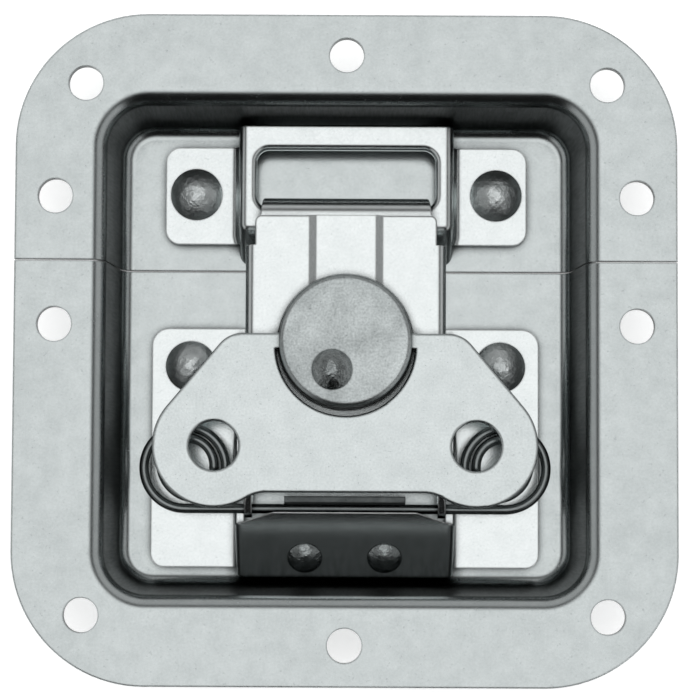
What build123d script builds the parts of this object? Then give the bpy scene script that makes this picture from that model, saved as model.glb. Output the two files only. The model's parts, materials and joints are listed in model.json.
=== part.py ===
"""Butterfly case latch: a recessed twist latch in a pressed dish that is split between case and lid.

Millimetres. The origin is the centre of the four corner holes, on the back of the dish's flange.
X runs to the right, Y from the case towards the lid, and Z out of the case.
Everything is drawn in the closed, locked position.
"""

import os
from math import atan2, cos, degrees, hypot, pi, radians, sin, sqrt, tan

from build123d import *

os.makedirs("parts", exist_ok=True)

# ---------------------------------------------------------------- fits
shank_clearance = 0.05      # rivet shank in its hole, on the radius
journal_clearance = 0.08    # drum in the carrier's round hole, on the radius
knuckle_clearance = 0.10    # hinge wire in the carrier's knuckles, on the radius
tab_clearance = 0.12        # handle tab in the drum's socket, on the radius
sliding_clearance = 0.10    # between the flat faces that turn or slide on each other
seat_gap = 0.05             # saddle under the ramp
handle_lift = 0.75          # underside of the handle over the carrier's raised band, so that it can tip up
hook_bite = 0.30            # lip of the hook beyond the keeper's bar
drum_rim_gap = 0.50         # handle's cut-out below the drum
drum_side_gap = 0.20        # handle's cut-out beside the drum
edge_roll = 0.25            # rounding that the press leaves along the upper edges of the sheets

# ---------------------------------------------------------------- dish
dish_sheet = 1.2
dish_depth = 14.0           # back of the flange to the back of the floor
pocket_width = 71.6         # inside, at floor level, before the bend
pocket_height = 73.2
pocket_corner = 5.4
wall_draft = 6.0
floor_bend = 2.0            # inside radius
rim_bend = 2.6              # front radius
flange_border_x = 15.2      # flange beyond the pocket, at either side
flange_border_y = 15.15     # and at either end
flange_corner = 20.5
lid_reach = 23.1            # the lid's share of the pocket, from the seam to its end wall
seam_gap = 0.2
fixing_hole = 5.3
corner_hole_inset_x = 10.8  # holes from the flange's outline
corner_hole_inset_y = 10.85
end_hole_inset = 6.35
side_hole_inset = 6.25
side_hole_from_seam = 9.9

# ---------------------------------------------------------------- rivets
floor_shank = 4.0           # the four rivets through the dish floor
floor_tail = 6.4
floor_tail_height = 0.7
dome_rim = 0.25             # short upright edge under each dome

# ---------------------------------------------------------------- keeper
keeper_sheet = 1.5
keeper_half = 17.1          # outside of the raised bridge
keeper_height = 5.5         # floor to the top of the bridge
keeper_wall_gap = 0.3       # between its open end and the dish's end wall
keeper_toe_gap = 1.1        # between the foot of its front slope and the seam
keeper_slope = 46.0
keeper_ear_bend = 1.3
keeper_nose = 1.5           # rounding where the bridge turns into its slope
keeper_lift = 1.8           # the bridge's walls clear the dish's floor bend
keeper_ear_reach = 11.8     # ears beyond the bridge
keeper_ear_corner = 2.3
keeper_ear_inset_low = 3.1  # ears from the toe
keeper_ear_inset_high = 3.0     # and from the open end
window_corner = 2.0
window_strip = 2.9          # bridge beside the window
window_side_room = 0.6      # between the window and the hook
bar_width = 8.5             # toe of the slope to the window
window_frame = 3.9          # window to the open end
bar_round = 1.0             # edge that the hook's lip pulls on
keeper_rivet_from_end = 4.9
keeper_rivet_from_edge = 8.0
keeper_rivet_head = 8.2
keeper_rivet_dome = 2.1

# ---------------------------------------------------------------- base plate
base_sheet = 1.2
base_side_room = 0.3        # between the upstands and the carrier
base_bend = 0.7             # inside radius where the ears turn up
base_ear_gap = 4.9          # between the ears and the dish's side walls
base_ear_inset = 2.7        # between the ears and the dish's end wall
base_ear_rise = 2.85        # upper edge of the ears above the drum's axis
base_ear_corner_top = 2.7
base_ear_corner_bottom = 2.1
upstand_height = 2.6
upstand_inset = 0.85
ramp_gap = 0.9              # between the foot of the ramp and the dish's end wall
ramp_head_gap = 0.5         # between the ramp's upper edge and the hinge axis
ramp_head_height = 8.9
ramp_foot_height = 2.3
ramp_toe_lift = 0.6         # the ramp's front wall clears the dish's floor bend
ramp_round = 1.2            # outside radius
ramp_edge_half = 11.2       # straight part of the ramp's upper edge
ramp_ear_cut = 1.0 / 3.0    # slope of the cut corners
base_rivet_shift = 0.65     # outwards from the middle of the ear
base_rivet_from_edge = 6.05
base_rivet_head = 8.0
base_rivet_dome = 2.0

# ---------------------------------------------------------------- hinge
hinge_from_wall = 12.0      # axis from the dish's end wall
hinge_drop = 3.0            # axis below the top of the carrier
wire = 1.5
saddle_sheet = 1.0
saddle_half = 9.5
saddle_inset = 1.7          # its foot from the foot of the ramp
saddle_lip_room = 0.25      # between the wire and the saddle's lip
saddle_wire_room = 0.15     # between the wire and the saddle's shelf
saddle_lip_height = 0.8
saddle_rivet_x = 6.27
saddle_rivet_inset = 3.4    # from the foot of the ramp
saddle_rivet_head = 5.3
saddle_rivet_dome = 1.3
saddle_shank = 2.6
saddle_tail = 4.0
saddle_tail_height = 0.7

# ---------------------------------------------------------------- spring coils
coil_to_wall = 4.3          # middle of the wire to the dish's side wall
coil_to_carrier = 3.0       # and to the carrier
turn_step_right = 1.65      # how much smaller than the outer turn the quarter turns are
turn_step_bottom = 1.0
turn_step_left = 2.4
turn_step_top = 2.1
tail_drop = 2.7             # the tail dives under its own turn
tail_hold = 2.7             # and reaches this far in under the carrier
tail_lead = 1.05            # straight part before the dive
tail_run = 1.0              # how far the dive runs towards the hinge axis
tail_step = 0.95            # how far the dive runs towards the middle
tail_bend = 1.1

# ---------------------------------------------------------------- carrier
carrier_sheet = 1.2
carrier_height = 9.6        # dish floor to the top of the carrier
carrier_depth = 4.8
carrier_round = 1.5
shoulder_past_seam = 3.1
tongue_inset = 1.5          # the tongue is this much narrower at either side
tongue_to_window = 1.9      # end of the tongue to the keeper's window
tongue_corner = 1.0
foot_from_hinge = 3.1       # lower end of the top plate
heel_from_hinge = 5.6       # where the flanges start to narrow
knuckle_radius = 1.4
band_half = 5.8             # raised band between drum and hook
band_crest_half = 4.6
band_height = 0.5
lug_reach = 1.5             # lugs that hold the hook plate up
lug_thick = 1.0
lug_length = 5.0
lugs_from_drum = (11.7, -5.3)

# ---------------------------------------------------------------- hook plate
hook_sheet = 1.3
hook_side_room = 0.9
hook_tail = 14.3            # below the drum's axis
hook_bend = 1.7
hook_lip_depth = 3.8        # below the underside of the plate
hook_lip_inset = 1.4        # the lip's tip is this much narrower at either side
hook_lip_shoulder = 0.2
hook_corner = 1.5
hook_travel = 6.3
slot_samples = 90           # steps of the half turn at which the slot is measured
slot_room = 0.34            # round the crank pin, over its whole travel
slot_corner = 1.5

# ---------------------------------------------------------------- drum
drum_y = 1.3
drum_radius = 10.25
drum_height = 4.2           # above the carrier
drum_round = 0.8
drum_seat_step = 0.23       # the journal is this much larger than the body
drum_flange_step = 2.15     # and the flange under the carrier this much
drum_flange = 0.9
socket_depth = 2.25         # of the handle's sockets, from the drum's rim
crank_x = -2.05             # crank rivet, from the drum's axis, latch closed
crank_y = -4.51
crank_head = 6.2
crank_dome = 1.6
crank_shank = 3.2
crank_tail = 5.8
crank_tail_height = 1.2
crank_washer_outer = 10.0
crank_washer_thick = 0.8

# ---------------------------------------------------------------- handle
handle_sheet = 1.6
handle_rise = 1.2           # upper edge above the axis that it tips about
handle_shoulder = 4.6       # radius of its upper corners
handle_slope = 50.0
lobe_x = 20.25
lobe_fall = 16.2            # centre of the lobes below the drum's axis
lobe_radius = 9.5
waist_radius = 6.0
handle_fall = 23.4          # middle of the lower edge below the drum's axis
wing_hole = 7.6
cut_fall = 0.8              # centre of the cut-out below the drum's axis
tab_hold = 1.95             # how deep the tabs sit in the drum
tab_width = 2.6
tab_root = 0.5              # overlap of the tabs with the wings
handle_edge = 0.4           # rounding of its upper edges

# ---------------------------------------------------------------- places worked out from these
flange_width = pocket_width + 2 * flange_border_x
flange_height = pocket_height + 2 * flange_border_y
corner_hole_x = flange_width / 2 - corner_hole_inset_x
corner_hole_y = flange_height / 2 - corner_hole_inset_y
end_hole_y = flange_height / 2 - end_hole_inset
side_hole_x = flange_width / 2 - side_hole_inset
seam_y = pocket_height / 2 - lid_reach
floor_flat = pocket_height / 2 - floor_bend

keeper_toe = seam_y + keeper_toe_gap
keeper_free_edge = seam_y + lid_reach - keeper_wall_gap
keeper_ear_bottom = keeper_toe + keeper_ear_inset_low
keeper_ear_top = keeper_free_edge - keeper_ear_inset_high
keeper_ear_half = keeper_half + keeper_ear_reach
window_bottom = keeper_toe + bar_width
window_top = keeper_free_edge - window_frame
keeper_rivet_x = keeper_ear_half - keeper_rivet_from_end
keeper_rivet_y = keeper_ear_bottom + keeper_rivet_from_edge

window_half = keeper_half - window_strip
hook_half = window_half - window_side_room
carrier_inner = hook_half + hook_side_room
carrier_half = carrier_inner + carrier_sheet
tongue_half = carrier_half - tongue_inset
base_inner = carrier_half + base_side_room
base_half = base_inner + base_sheet

hinge_y = hinge_from_wall - pocket_height / 2
ramp_head_y = hinge_y - ramp_head_gap
ramp_foot_y = ramp_gap - pocket_height / 2
base_ear_half = pocket_width / 2 - base_ear_gap
base_ear_bottom = base_ear_inset - pocket_height / 2
base_ear_top = drum_y + base_ear_rise
upstand_top_y = base_ear_top - upstand_inset
base_rivet_x = (base_half + base_ear_half) / 2 + base_rivet_shift
base_rivet_y = base_ear_top - base_rivet_from_edge
saddle_foot_y = ramp_foot_y + saddle_inset
saddle_rivet_y = ramp_foot_y + saddle_rivet_inset
coil_radius = (pocket_width / 2 - coil_to_wall - carrier_half - coil_to_carrier) / 2
coil_x = carrier_half + coil_to_carrier + coil_radius
tail_end_x = carrier_half - tail_hold

carrier_shoulder_y = seam_y + shoulder_past_seam
tongue_top_y = window_bottom - tongue_to_window
carrier_foot_y = hinge_y + foot_from_hinge
carrier_heel_y = hinge_y + heel_from_hinge
drum_seat_radius = drum_radius + drum_seat_step
drum_flange_radius = drum_radius + drum_flange_step
hook_tail_y = drum_y - hook_tail
handle_top_y = drum_y + handle_rise
handle_bottom_y = drum_y - handle_fall
lobe_y = drum_y - lobe_fall
cut_y = drum_y - cut_fall
cut_half = drum_radius + drum_side_gap
cut_radius = drum_radius + drum_rim_gap
tab_reach = drum_radius - tab_hold

# ---------------------------------------------------------------- levels worked out from these
floor_z = dish_sheet - dish_depth
carrier_top = floor_z + carrier_height
carrier_under = carrier_top - carrier_sheet
drum_flange_top = carrier_under - sliding_clearance
drum_bottom = drum_flange_top - drum_flange
hook_top = drum_bottom - sliding_clearance
hook_under = hook_top - hook_sheet
washer_top = hook_under - sliding_clearance
washer_under = washer_top - crank_washer_thick
drum_top = carrier_top + drum_height
handle_under = carrier_top + band_height + handle_lift
handle_z = handle_under + handle_sheet / 2
hinge_z = carrier_top - hinge_drop
keeper_top = floor_z + keeper_height
keeper_ear_z = floor_z + keeper_sheet
base_ear_z = floor_z + base_sheet
ramp_head_z = floor_z + ramp_head_height
ramp_foot_z = floor_z + ramp_foot_height
ramp_angle = atan2(ramp_head_z - ramp_foot_z, ramp_head_y - ramp_foot_y)
far = 200.0                 # longer than anything here, for cuts that run right through

LEFT_RIGHT = {"left": -1, "right": 1}


def save(piece, name):
    """Labels a finished piece and writes it to its own STEP file."""
    piece.part.label = name
    export_step(piece.part, f"parts/{name}.step")


def dome_rivet(seat, head, dome, shank, grip, tail, tail_height):
    """A solid rivet whose domed head sits on the plane seat and whose tail is closed under grip."""
    section = Plane(origin=seat.origin, x_dir=seat.x_dir, z_dir=-seat.y_dir)
    tail_flat = tail / 2 - tail_height / 3
    with BuildPart() as rivet:
        with BuildSketch(section):
            with BuildLine():
                Polyline((0, dome), (0, -grip - tail_height), (tail_flat, -grip - tail_height),
                         (tail / 2, -grip - tail_height / 2), (tail / 2, -grip), (shank / 2, -grip),
                         (shank / 2, 0), (head / 2, 0), (head / 2, dome_rim))
                rise = dome - dome_rim
                bow = ((head / 2) ** 2 + rise ** 2) / (2 * rise)
                RadiusArc((head / 2, dome_rim), (0, dome), -bow)
            make_face()
        revolve(axis=Axis(seat.origin, seat.z_dir))
    return rivet


def roll(piece, height, radius, wanted=lambda edge: True):
    """Rounds the upper edges of the flat face at the given height, where wanted says so."""
    face_edges = piece.faces().filter_by(Axis.Z).filter_by_position(Axis.Z, height - 0.01, height + 0.01).edges()
    fillet([edge for edge in face_edges if wanted(edge)], radius)


def rounded_plate(half_width, bottom_y, top_y, bottom_corner, top_corner):
    """Adds a rectangle about X = 0 to the sketch being drawn, with its own radius at either end."""
    with BuildSketch(mode=Mode.PRIVATE) as plate:
        with Locations((0, (bottom_y + top_y) / 2)):
            Rectangle(2 * half_width, top_y - bottom_y)
        fillet(plate.vertices().group_by(Axis.Y)[0], bottom_corner)
        fillet(plate.vertices().group_by(Axis.Y)[-1], top_corner)
    add(plate.sketch)


# ================================================================ dish


def on_flange(edge):
    """Whether an edge belongs to the flange's outline or holes and not to the mouth of the pocket."""
    middle = edge.center()
    reach = max(abs(middle.X) - pocket_width / 2, abs(middle.Y) - pocket_height / 2)
    return reach > 2 * rim_bend


skin = dish_sheet * (1 / cos(radians(wall_draft)) - tan(radians(wall_draft)))

with BuildPart() as dish:
    with BuildSketch(Plane.XY.offset(-dish_depth)):
        RectangleRounded(pocket_width + 2 * skin, pocket_height + 2 * skin, pocket_corner + skin)
    extrude(amount=dish_depth, taper=-wall_draft)
    fillet(dish.faces().sort_by(Axis.Z)[0].edges(), floor_bend + dish_sheet)
    with BuildSketch():
        RectangleRounded(flange_width, flange_height, flange_corner)
    extrude(amount=dish_sheet)
    flange_back = dish.faces().filter_by(Axis.Z).filter_by_position(Axis.Z, -0.01, 0.01)[0]
    fillet(flange_back.inner_wires()[0].edges(), rim_bend - dish_sheet)
    with BuildSketch(Plane.XY.offset(floor_z)):
        RectangleRounded(pocket_width, pocket_height, pocket_corner)
    extrude(amount=dish_depth, taper=-wall_draft, mode=Mode.SUBTRACT)
    floor_face = dish.faces().filter_by(Axis.Z).filter_by_position(Axis.Z, floor_z - 0.01, floor_z + 0.01)[0]
    fillet(floor_face.edges(), floor_bend)
    flange_front = dish.faces().filter_by(Axis.Z).sort_by(Axis.Z)[-1]
    fillet(flange_front.inner_wires()[0].edges(), rim_bend)
    with BuildSketch(Plane.XY.offset(dish_sheet)):
        with GridLocations(2 * corner_hole_x, 2 * corner_hole_y, 2, 2):
            Circle(fixing_hole / 2)
        with GridLocations(0, 2 * end_hole_y, 1, 2):
            Circle(fixing_hole / 2)
        with Locations((0, seam_y)):
            with GridLocations(2 * side_hole_x, 2 * side_hole_from_seam, 2, 2):
                Circle(fixing_hole / 2)
        with Locations(*[(side * keeper_rivet_x, keeper_rivet_y) for side in (-1, 1)],
                       *[(side * base_rivet_x, base_rivet_y) for side in (-1, 1)]):
            Circle(floor_shank / 2 + shank_clearance)
    extrude(amount=-far, mode=Mode.SUBTRACT)
    roll(dish, dish_sheet, edge_roll, on_flange)

with BuildPart() as dish_upper:
    add(dish.part)
    split(bisect_by=Plane.XZ.offset(-seam_y - seam_gap / 2), keep=Keep.BOTTOM)
save(dish_upper, "dish_upper")

with BuildPart() as dish_lower:
    add(dish.part)
    split(bisect_by=Plane.XZ.offset(-seam_y + seam_gap / 2), keep=Keep.TOP)
save(dish_lower, "dish_lower")

# ================================================================ keeper
slope_run = keeper_height / tan(radians(keeper_slope))
slope_shift = keeper_sheet / sin(radians(keeper_slope))
keeper_inner = keeper_half - keeper_sheet

with BuildPart() as keeper:
    with BuildSketch(Plane.YZ):
        with BuildLine():
            Polyline((keeper_toe, floor_z), (keeper_toe + slope_run, keeper_top),
                     (keeper_free_edge, keeper_top), (keeper_free_edge, floor_z + keeper_lift),
                     (floor_flat, floor_z + keeper_lift), (keeper_ear_top, floor_z), close=True)
        make_face()
    extrude(amount=keeper_half, both=True)
    bridge_sides = keeper.edges().filter_by_position(Axis.X, keeper_half - 0.01, keeper_half + 0.01)
    bridge_sides += keeper.edges().filter_by_position(Axis.X, -keeper_half - 0.01, -keeper_half + 0.01)
    bent_edges = bridge_sides.filter_by(Axis.Y).filter_by_position(Axis.Z, keeper_top - 0.01, keeper_top + 0.01)
    bent_edges += bridge_sides.filter_by_position(Axis.Y, keeper_toe + 0.1, keeper_toe + slope_run - 0.1)
    nose = keeper.edges().filter_by(Axis.X).filter_by_position(
        Axis.Z, keeper_top - 0.01, keeper_top + 0.01).sort_by(Axis.Y)[0]
    fillet(bent_edges + [nose], keeper_nose)
    with BuildSketch(Plane.YZ):
        with BuildLine():
            inner_top = keeper_top - keeper_sheet
            inner_run = (inner_top - floor_z) / tan(radians(keeper_slope))
            Polyline((keeper_toe + slope_shift, floor_z), (keeper_toe + slope_shift + inner_run, inner_top),
                     (far, inner_top), (far, floor_z), close=True)
        make_face()
    extrude(amount=keeper_inner, both=True, mode=Mode.SUBTRACT)
    for side in (-1, 1):
        with BuildSketch(Plane.XY.offset(floor_z)):
            rounded_plate(keeper_ear_half, keeper_ear_bottom, keeper_ear_top, keeper_ear_corner, keeper_ear_corner)
            with Locations((-side * far / 2 + side * keeper_inner, 0)):
                Rectangle(far, far, mode=Mode.SUBTRACT)
        extrude(amount=keeper_sheet)
    for side in (-1, 1):
        root = keeper.edges().filter_by(Axis.Y).filter_by_position(
            Axis.Z, keeper_ear_z - 0.01, keeper_ear_z + 0.01).filter_by_position(
            Axis.X, side * keeper_half - 0.01, side * keeper_half + 0.01)
        fillet(root, keeper_ear_bend)
    with BuildSketch(Plane.XY.offset(keeper_top)):
        with Locations((0, (window_bottom + window_top) / 2)):
            RectangleRounded(2 * window_half, window_top - window_bottom, window_corner)
        with Locations(*[(side * keeper_rivet_x, keeper_rivet_y) for side in (-1, 1)]):
            Circle(floor_shank / 2 + shank_clearance)
    extrude(amount=-keeper_height, mode=Mode.SUBTRACT)
    bar_edge = keeper.edges().filter_by(Axis.X).filter_by_position(
        Axis.Y, window_bottom - 0.01, window_bottom + 0.01).sort_by(Axis.Z)[-1]
    fillet(bar_edge, bar_round)
    roll(keeper, keeper_top, 1.5 * edge_roll, lambda edge: edge.center().Y > window_bottom + 0.5
         and abs(edge.center().X) < window_half + 0.1)
save(keeper, "keeper")

for name, side in LEFT_RIGHT.items():
    keeper_seat = Plane(origin=(side * keeper_rivet_x, keeper_rivet_y, keeper_ear_z))
    keeper_rivet = dome_rivet(keeper_seat, keeper_rivet_head, keeper_rivet_dome, floor_shank,
                              keeper_sheet + dish_sheet, floor_tail, floor_tail_height)
    save(keeper_rivet, f"keeper_rivet_{name}")


# ================================================================ base plate
def ramp_z(y, depth=0.0):
    """Height of the ramp's outer face at y, or of the plane that lies depth under it."""
    return ramp_head_z - (ramp_head_y - y) * tan(ramp_angle) - depth / cos(ramp_angle)


def ramp_y(z, depth=0.0):
    """Where the ramp's outer face, or the plane that lies depth under it, reaches the height z."""
    return ramp_head_y - (ramp_head_z - z - depth / cos(ramp_angle)) / tan(ramp_angle)


upstand_z = floor_z + upstand_height

with BuildPart() as base_plate:
    with BuildSketch(Plane.YZ):
        with BuildLine():
            Polyline((ramp_head_y, floor_z), (ramp_head_y, ramp_head_z), (ramp_foot_y, ramp_foot_z),
                     (ramp_foot_y, floor_z + ramp_toe_lift), (-floor_flat, floor_z), close=True)
        make_face()
    extrude(amount=base_half, both=True)
    ramp_rim = base_plate.faces().filter_by(lambda face: abs(face.normal_at().Y + sin(ramp_angle)) < 0.01)[0]
    ramp_edges = ramp_rim.edges().filter_by(lambda edge: edge.center().Y < ramp_head_y - 0.1)
    corners = base_plate.edges().filter_by(Axis.Z).filter_by_position(Axis.Y, ramp_foot_y - 0.01, ramp_foot_y + 0.01)
    fillet(ramp_edges + corners, ramp_round)
    with BuildSketch(Plane.YZ):
        with BuildLine():
            inner_foot_y = ramp_foot_y + base_sheet
            Polyline((inner_foot_y, floor_z - far), (inner_foot_y, ramp_z(inner_foot_y, base_sheet)),
                     (0, ramp_z(0, base_sheet)), (0, floor_z - far), close=True)
        make_face()
    extrude(amount=base_inner, both=True, mode=Mode.SUBTRACT)
    with BuildSketch(Plane.XY.offset(upstand_z)):
        for side in (-1, 1):
            with BuildLine():
                Polyline((side * ramp_edge_half, ramp_head_y + 1),
                         (side * ramp_edge_half, ramp_head_y),
                         (side * (base_half + 1), ramp_head_y - ramp_ear_cut * (base_half + 1 - ramp_edge_half)),
                         (side * (base_half + 1), ramp_head_y + 1), close=True)
            make_face()
    extrude(amount=far, mode=Mode.SUBTRACT)
    for side in (-1, 1):
        with BuildSketch(Plane.XY.offset(floor_z)):
            rounded_plate(base_ear_half, base_ear_bottom, base_ear_top,
                          base_ear_corner_bottom, base_ear_corner_top)
            with Locations((-side * far / 2 + side * base_inner, 0)):
                Rectangle(far, far, mode=Mode.SUBTRACT)
        extrude(amount=base_sheet)
        with BuildSketch(Plane.XY.offset(floor_z)):
            with Locations((side * (base_half - base_sheet / 2), (upstand_top_y + ramp_head_y - 1) / 2)):
                Rectangle(base_sheet, upstand_top_y - ramp_head_y + 1)
        extrude(amount=upstand_height)
    for side in (-1, 1):
        root = base_plate.edges().filter_by(Axis.Y).filter_by_position(
            Axis.Z, base_ear_z - 0.01, base_ear_z + 0.01).filter_by_position(
            Axis.X, side * base_half - 0.01, side * base_half + 0.01)
        fillet(root, base_bend)
    with BuildSketch(Plane.XY.offset(base_ear_z)):
        with Locations(*[(side * base_rivet_x, base_rivet_y) for side in (-1, 1)]):
            Circle(floor_shank / 2 + shank_clearance)
    extrude(amount=-base_sheet, mode=Mode.SUBTRACT)
    ramp_plane = Plane(origin=(0, saddle_rivet_y, ramp_z(saddle_rivet_y)), x_dir=(1, 0, 0),
                       z_dir=(0, -sin(ramp_angle), cos(ramp_angle)))
    with BuildSketch(ramp_plane):
        with GridLocations(2 * saddle_rivet_x, 0, 2, 1):
            Circle(saddle_shank / 2 + shank_clearance)
    extrude(amount=-2 * base_sheet, mode=Mode.SUBTRACT)
save(base_plate, "base_plate")

for name, side in LEFT_RIGHT.items():
    base_seat = Plane(origin=(side * base_rivet_x, base_rivet_y, base_ear_z))
    base_rivet = dome_rivet(base_seat, base_rivet_head, base_rivet_dome, floor_shank,
                            base_sheet + dish_sheet, floor_tail, floor_tail_height)
    save(base_rivet, f"base_rivet_{name}")

# ================================================================ hinge saddle and its rivets
saddle_depth = base_sheet + seat_gap
shelf_top = hinge_z - wire / 2 - saddle_wire_room
shelf_under = shelf_top - saddle_sheet
lip_y = hinge_y + wire / 2 + saddle_lip_room

with BuildPart() as hinge_saddle:
    with BuildSketch(Plane.YZ):
        with BuildLine():
            Polyline((saddle_foot_y, ramp_z(saddle_foot_y, saddle_depth)),
                     (ramp_y(shelf_top, saddle_depth), shelf_top), (lip_y, shelf_top),
                     (lip_y, shelf_top + saddle_lip_height),
                     (lip_y + saddle_sheet, shelf_top + saddle_lip_height),
                     (lip_y + saddle_sheet, shelf_under),
                     (ramp_y(shelf_under, saddle_depth + saddle_sheet), shelf_under),
                     (saddle_foot_y, ramp_z(saddle_foot_y, saddle_depth + saddle_sheet)), close=True)
        make_face()
    extrude(amount=saddle_half, both=True)
    with BuildSketch(ramp_plane):
        with GridLocations(2 * saddle_rivet_x, 0, 2, 1):
            Circle(saddle_shank / 2 + shank_clearance)
    extrude(amount=-4 * base_sheet, mode=Mode.SUBTRACT)
save(hinge_saddle, "hinge_saddle")

for name, side in LEFT_RIGHT.items():
    saddle_seat = Plane(origin=(side * saddle_rivet_x, saddle_rivet_y, ramp_z(saddle_rivet_y)),
                        x_dir=ramp_plane.x_dir, z_dir=ramp_plane.z_dir)
    saddle_rivet = dome_rivet(saddle_seat, saddle_rivet_head, saddle_rivet_dome, saddle_shank,
                              saddle_depth + saddle_sheet, saddle_tail, saddle_tail_height)
    save(saddle_rivet, f"saddle_rivet_{name}")

# ================================================================ hinge spring
# One wire: the straight middle is the hinge pin, and each end winds into a flat two-turn spiral
# whose tail dives under its own turn and presses up against the carrier's flange.
turn_two_right = coil_radius - turn_step_right
turn_two_bottom = coil_radius - turn_step_bottom
turn_two_left = coil_radius - turn_step_left
turn_two_top = coil_radius - turn_step_top
coil_y = hinge_y + coil_radius
right_end = -coil_x + coil_radius
second_x = right_end - turn_two_right
third_y = coil_y - turn_two_right + turn_two_bottom
fourth_x = second_x - turn_two_bottom + turn_two_left
fifth_y = third_y + turn_two_left - turn_two_top
spiral_end_x = fourth_x + turn_two_top
tail_y = fifth_y - tail_lead - tail_run
tail_z = hinge_z - tail_drop

with BuildPart() as hinge_spring:
    with BuildLine() as half_wire:
        with BuildLine(Plane.XY.offset(hinge_z)):
            Line((0, hinge_y), (-coil_x, hinge_y))
            CenterArc((-coil_x, coil_y), coil_radius, 270, -270)
            CenterArc((second_x, coil_y), turn_two_right, 0, -90)
            CenterArc((second_x, third_y), turn_two_bottom, 270, -90)
            CenterArc((fourth_x, third_y), turn_two_left, 180, -90)
            CenterArc((fourth_x, fifth_y), turn_two_top, 90, -90)
        FilletPolyline((spiral_end_x, fifth_y, hinge_z),
                       (spiral_end_x, fifth_y - tail_lead, hinge_z),
                       (spiral_end_x + tail_step, tail_y, tail_z),
                       (-tail_end_x, tail_y, tail_z), radius=tail_bend)
    with BuildSketch(Plane.YZ.offset(0)):
        with Locations((hinge_y, hinge_z)):
            Circle(wire / 2)
    sweep(path=half_wire.line)
    mirror(about=Plane.YZ)
save(hinge_spring, "hinge_spring")

# ================================================================ carrier
carrier_bottom = carrier_top - carrier_depth
band_slope = atan2(band_height, band_half - band_crest_half)
band_inset = carrier_sheet * tan(band_slope / 2)
journal_hole = drum_seat_radius + journal_clearance

with BuildPart() as carrier:
    # a channel of bent sheet
    with BuildSketch(Plane.XZ.offset(-carrier_shoulder_y)) as channel:
        with Locations((0, (carrier_top + carrier_bottom) / 2)):
            Rectangle(2 * carrier_half, carrier_depth)
        fillet(channel.vertices().group_by(Axis.Y)[-1], carrier_round)
        with BuildSketch(Plane.XZ.offset(-carrier_shoulder_y), mode=Mode.SUBTRACT) as hollow:
            with Locations((0, (carrier_under + carrier_bottom - 1) / 2)):
                Rectangle(2 * carrier_inner, carrier_under - carrier_bottom + 1)
            fillet(hollow.vertices().group_by(Axis.Y)[-1], carrier_round - carrier_sheet)
    extrude(amount=carrier_shoulder_y - hinge_y + 2 * knuckle_radius)
    # its flanges narrow to the hinge knuckles
    with BuildSketch(Plane.YZ) as flank:
        with BuildLine():
            Polyline((carrier_shoulder_y, carrier_top), (carrier_foot_y, carrier_top),
                     (carrier_heel_y, carrier_bottom), (carrier_shoulder_y, carrier_bottom), close=True)
        make_face()
        with Locations((hinge_y, hinge_z)):
            Circle(knuckle_radius)
        make_hull()
    extrude(amount=carrier_half, both=True, mode=Mode.INTERSECT)
    with BuildSketch(Plane.XY.offset(carrier_top)):
        with Locations((0, carrier_foot_y - far / 2)):
            Rectangle(2 * carrier_inner, far)
    extrude(amount=-far, mode=Mode.SUBTRACT)
    # tongue over the hook's bend
    with BuildSketch(Plane.XY.offset(carrier_under)) as tongue:
        with Locations((0, (carrier_shoulder_y - 1 + tongue_top_y) / 2)):
            Rectangle(2 * tongue_half, tongue_top_y - carrier_shoulder_y + 1)
        fillet(tongue.vertices().group_by(Axis.Y)[-1], tongue_corner)
    extrude(amount=carrier_sheet)
    # raised band, pressed up from below
    for inset, base, mode in ((0, carrier_top, Mode.ADD), (band_inset, carrier_under, Mode.SUBTRACT)):
        with BuildSketch(Plane.XZ.offset(-tongue_top_y)):
            with BuildLine():
                Polyline((-band_half + inset, base), (-band_crest_half + inset, base + band_height),
                         (band_crest_half - inset, base + band_height), (band_half - inset, base), close=True)
            make_face()
        extrude(amount=tongue_top_y - drum_y, mode=mode)
    # lugs under the hook plate
    for side in (-1, 1):
        with BuildSketch(Plane.XY.offset(hook_under - sliding_clearance)):
            with Locations(*[(side * (carrier_inner - lug_reach / 2), drum_y + place)
                             for place in lugs_from_drum]):
                Rectangle(lug_reach, lug_length)
        extrude(amount=-lug_thick)
    with BuildSketch(Plane.XY.offset(carrier_top + band_height)):
        with Locations((0, drum_y)):
            Circle(journal_hole)
    extrude(amount=carrier_under - carrier_top - band_height, mode=Mode.SUBTRACT)
    with BuildSketch(Plane.YZ.offset(-far / 2)):
        with Locations((hinge_y, hinge_z)):
            Circle(wire / 2 + knuckle_clearance)
    extrude(amount=far, mode=Mode.SUBTRACT)
    roll(carrier, carrier_top, edge_roll, lambda edge: not carrier_foot_y + 0.1 < edge.center().Y
         < carrier_shoulder_y - 0.1)
save(carrier, "carrier")

# ================================================================ hook plate
lip_inner_y = window_bottom + hook_bite
bend_y = lip_inner_y - hook_bend
bend_z = hook_under - hook_bend
lip_bottom = hook_under - hook_lip_depth
pin_reach = crank_shank / 2 + slot_room

# The pin turns half a circle while the hook slides by hook_travel in proportion to the angle.
crank_throw = hypot(crank_x, crank_y)
crank_start = atan2(crank_y, crank_x)
turn_steps = [pi * step / slot_samples for step in range(slot_samples + 1)]
pin_path_x = [crank_throw * cos(crank_start + turn) for turn in turn_steps]
pin_path_y = [crank_throw * sin(crank_start + turn) - hook_travel * turn / pi for turn in turn_steps]
slot_left, slot_right = min(pin_path_x) - pin_reach, max(pin_path_x) + pin_reach
slot_bottom, slot_top = min(pin_path_y) - pin_reach, max(pin_path_y) + pin_reach

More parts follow.
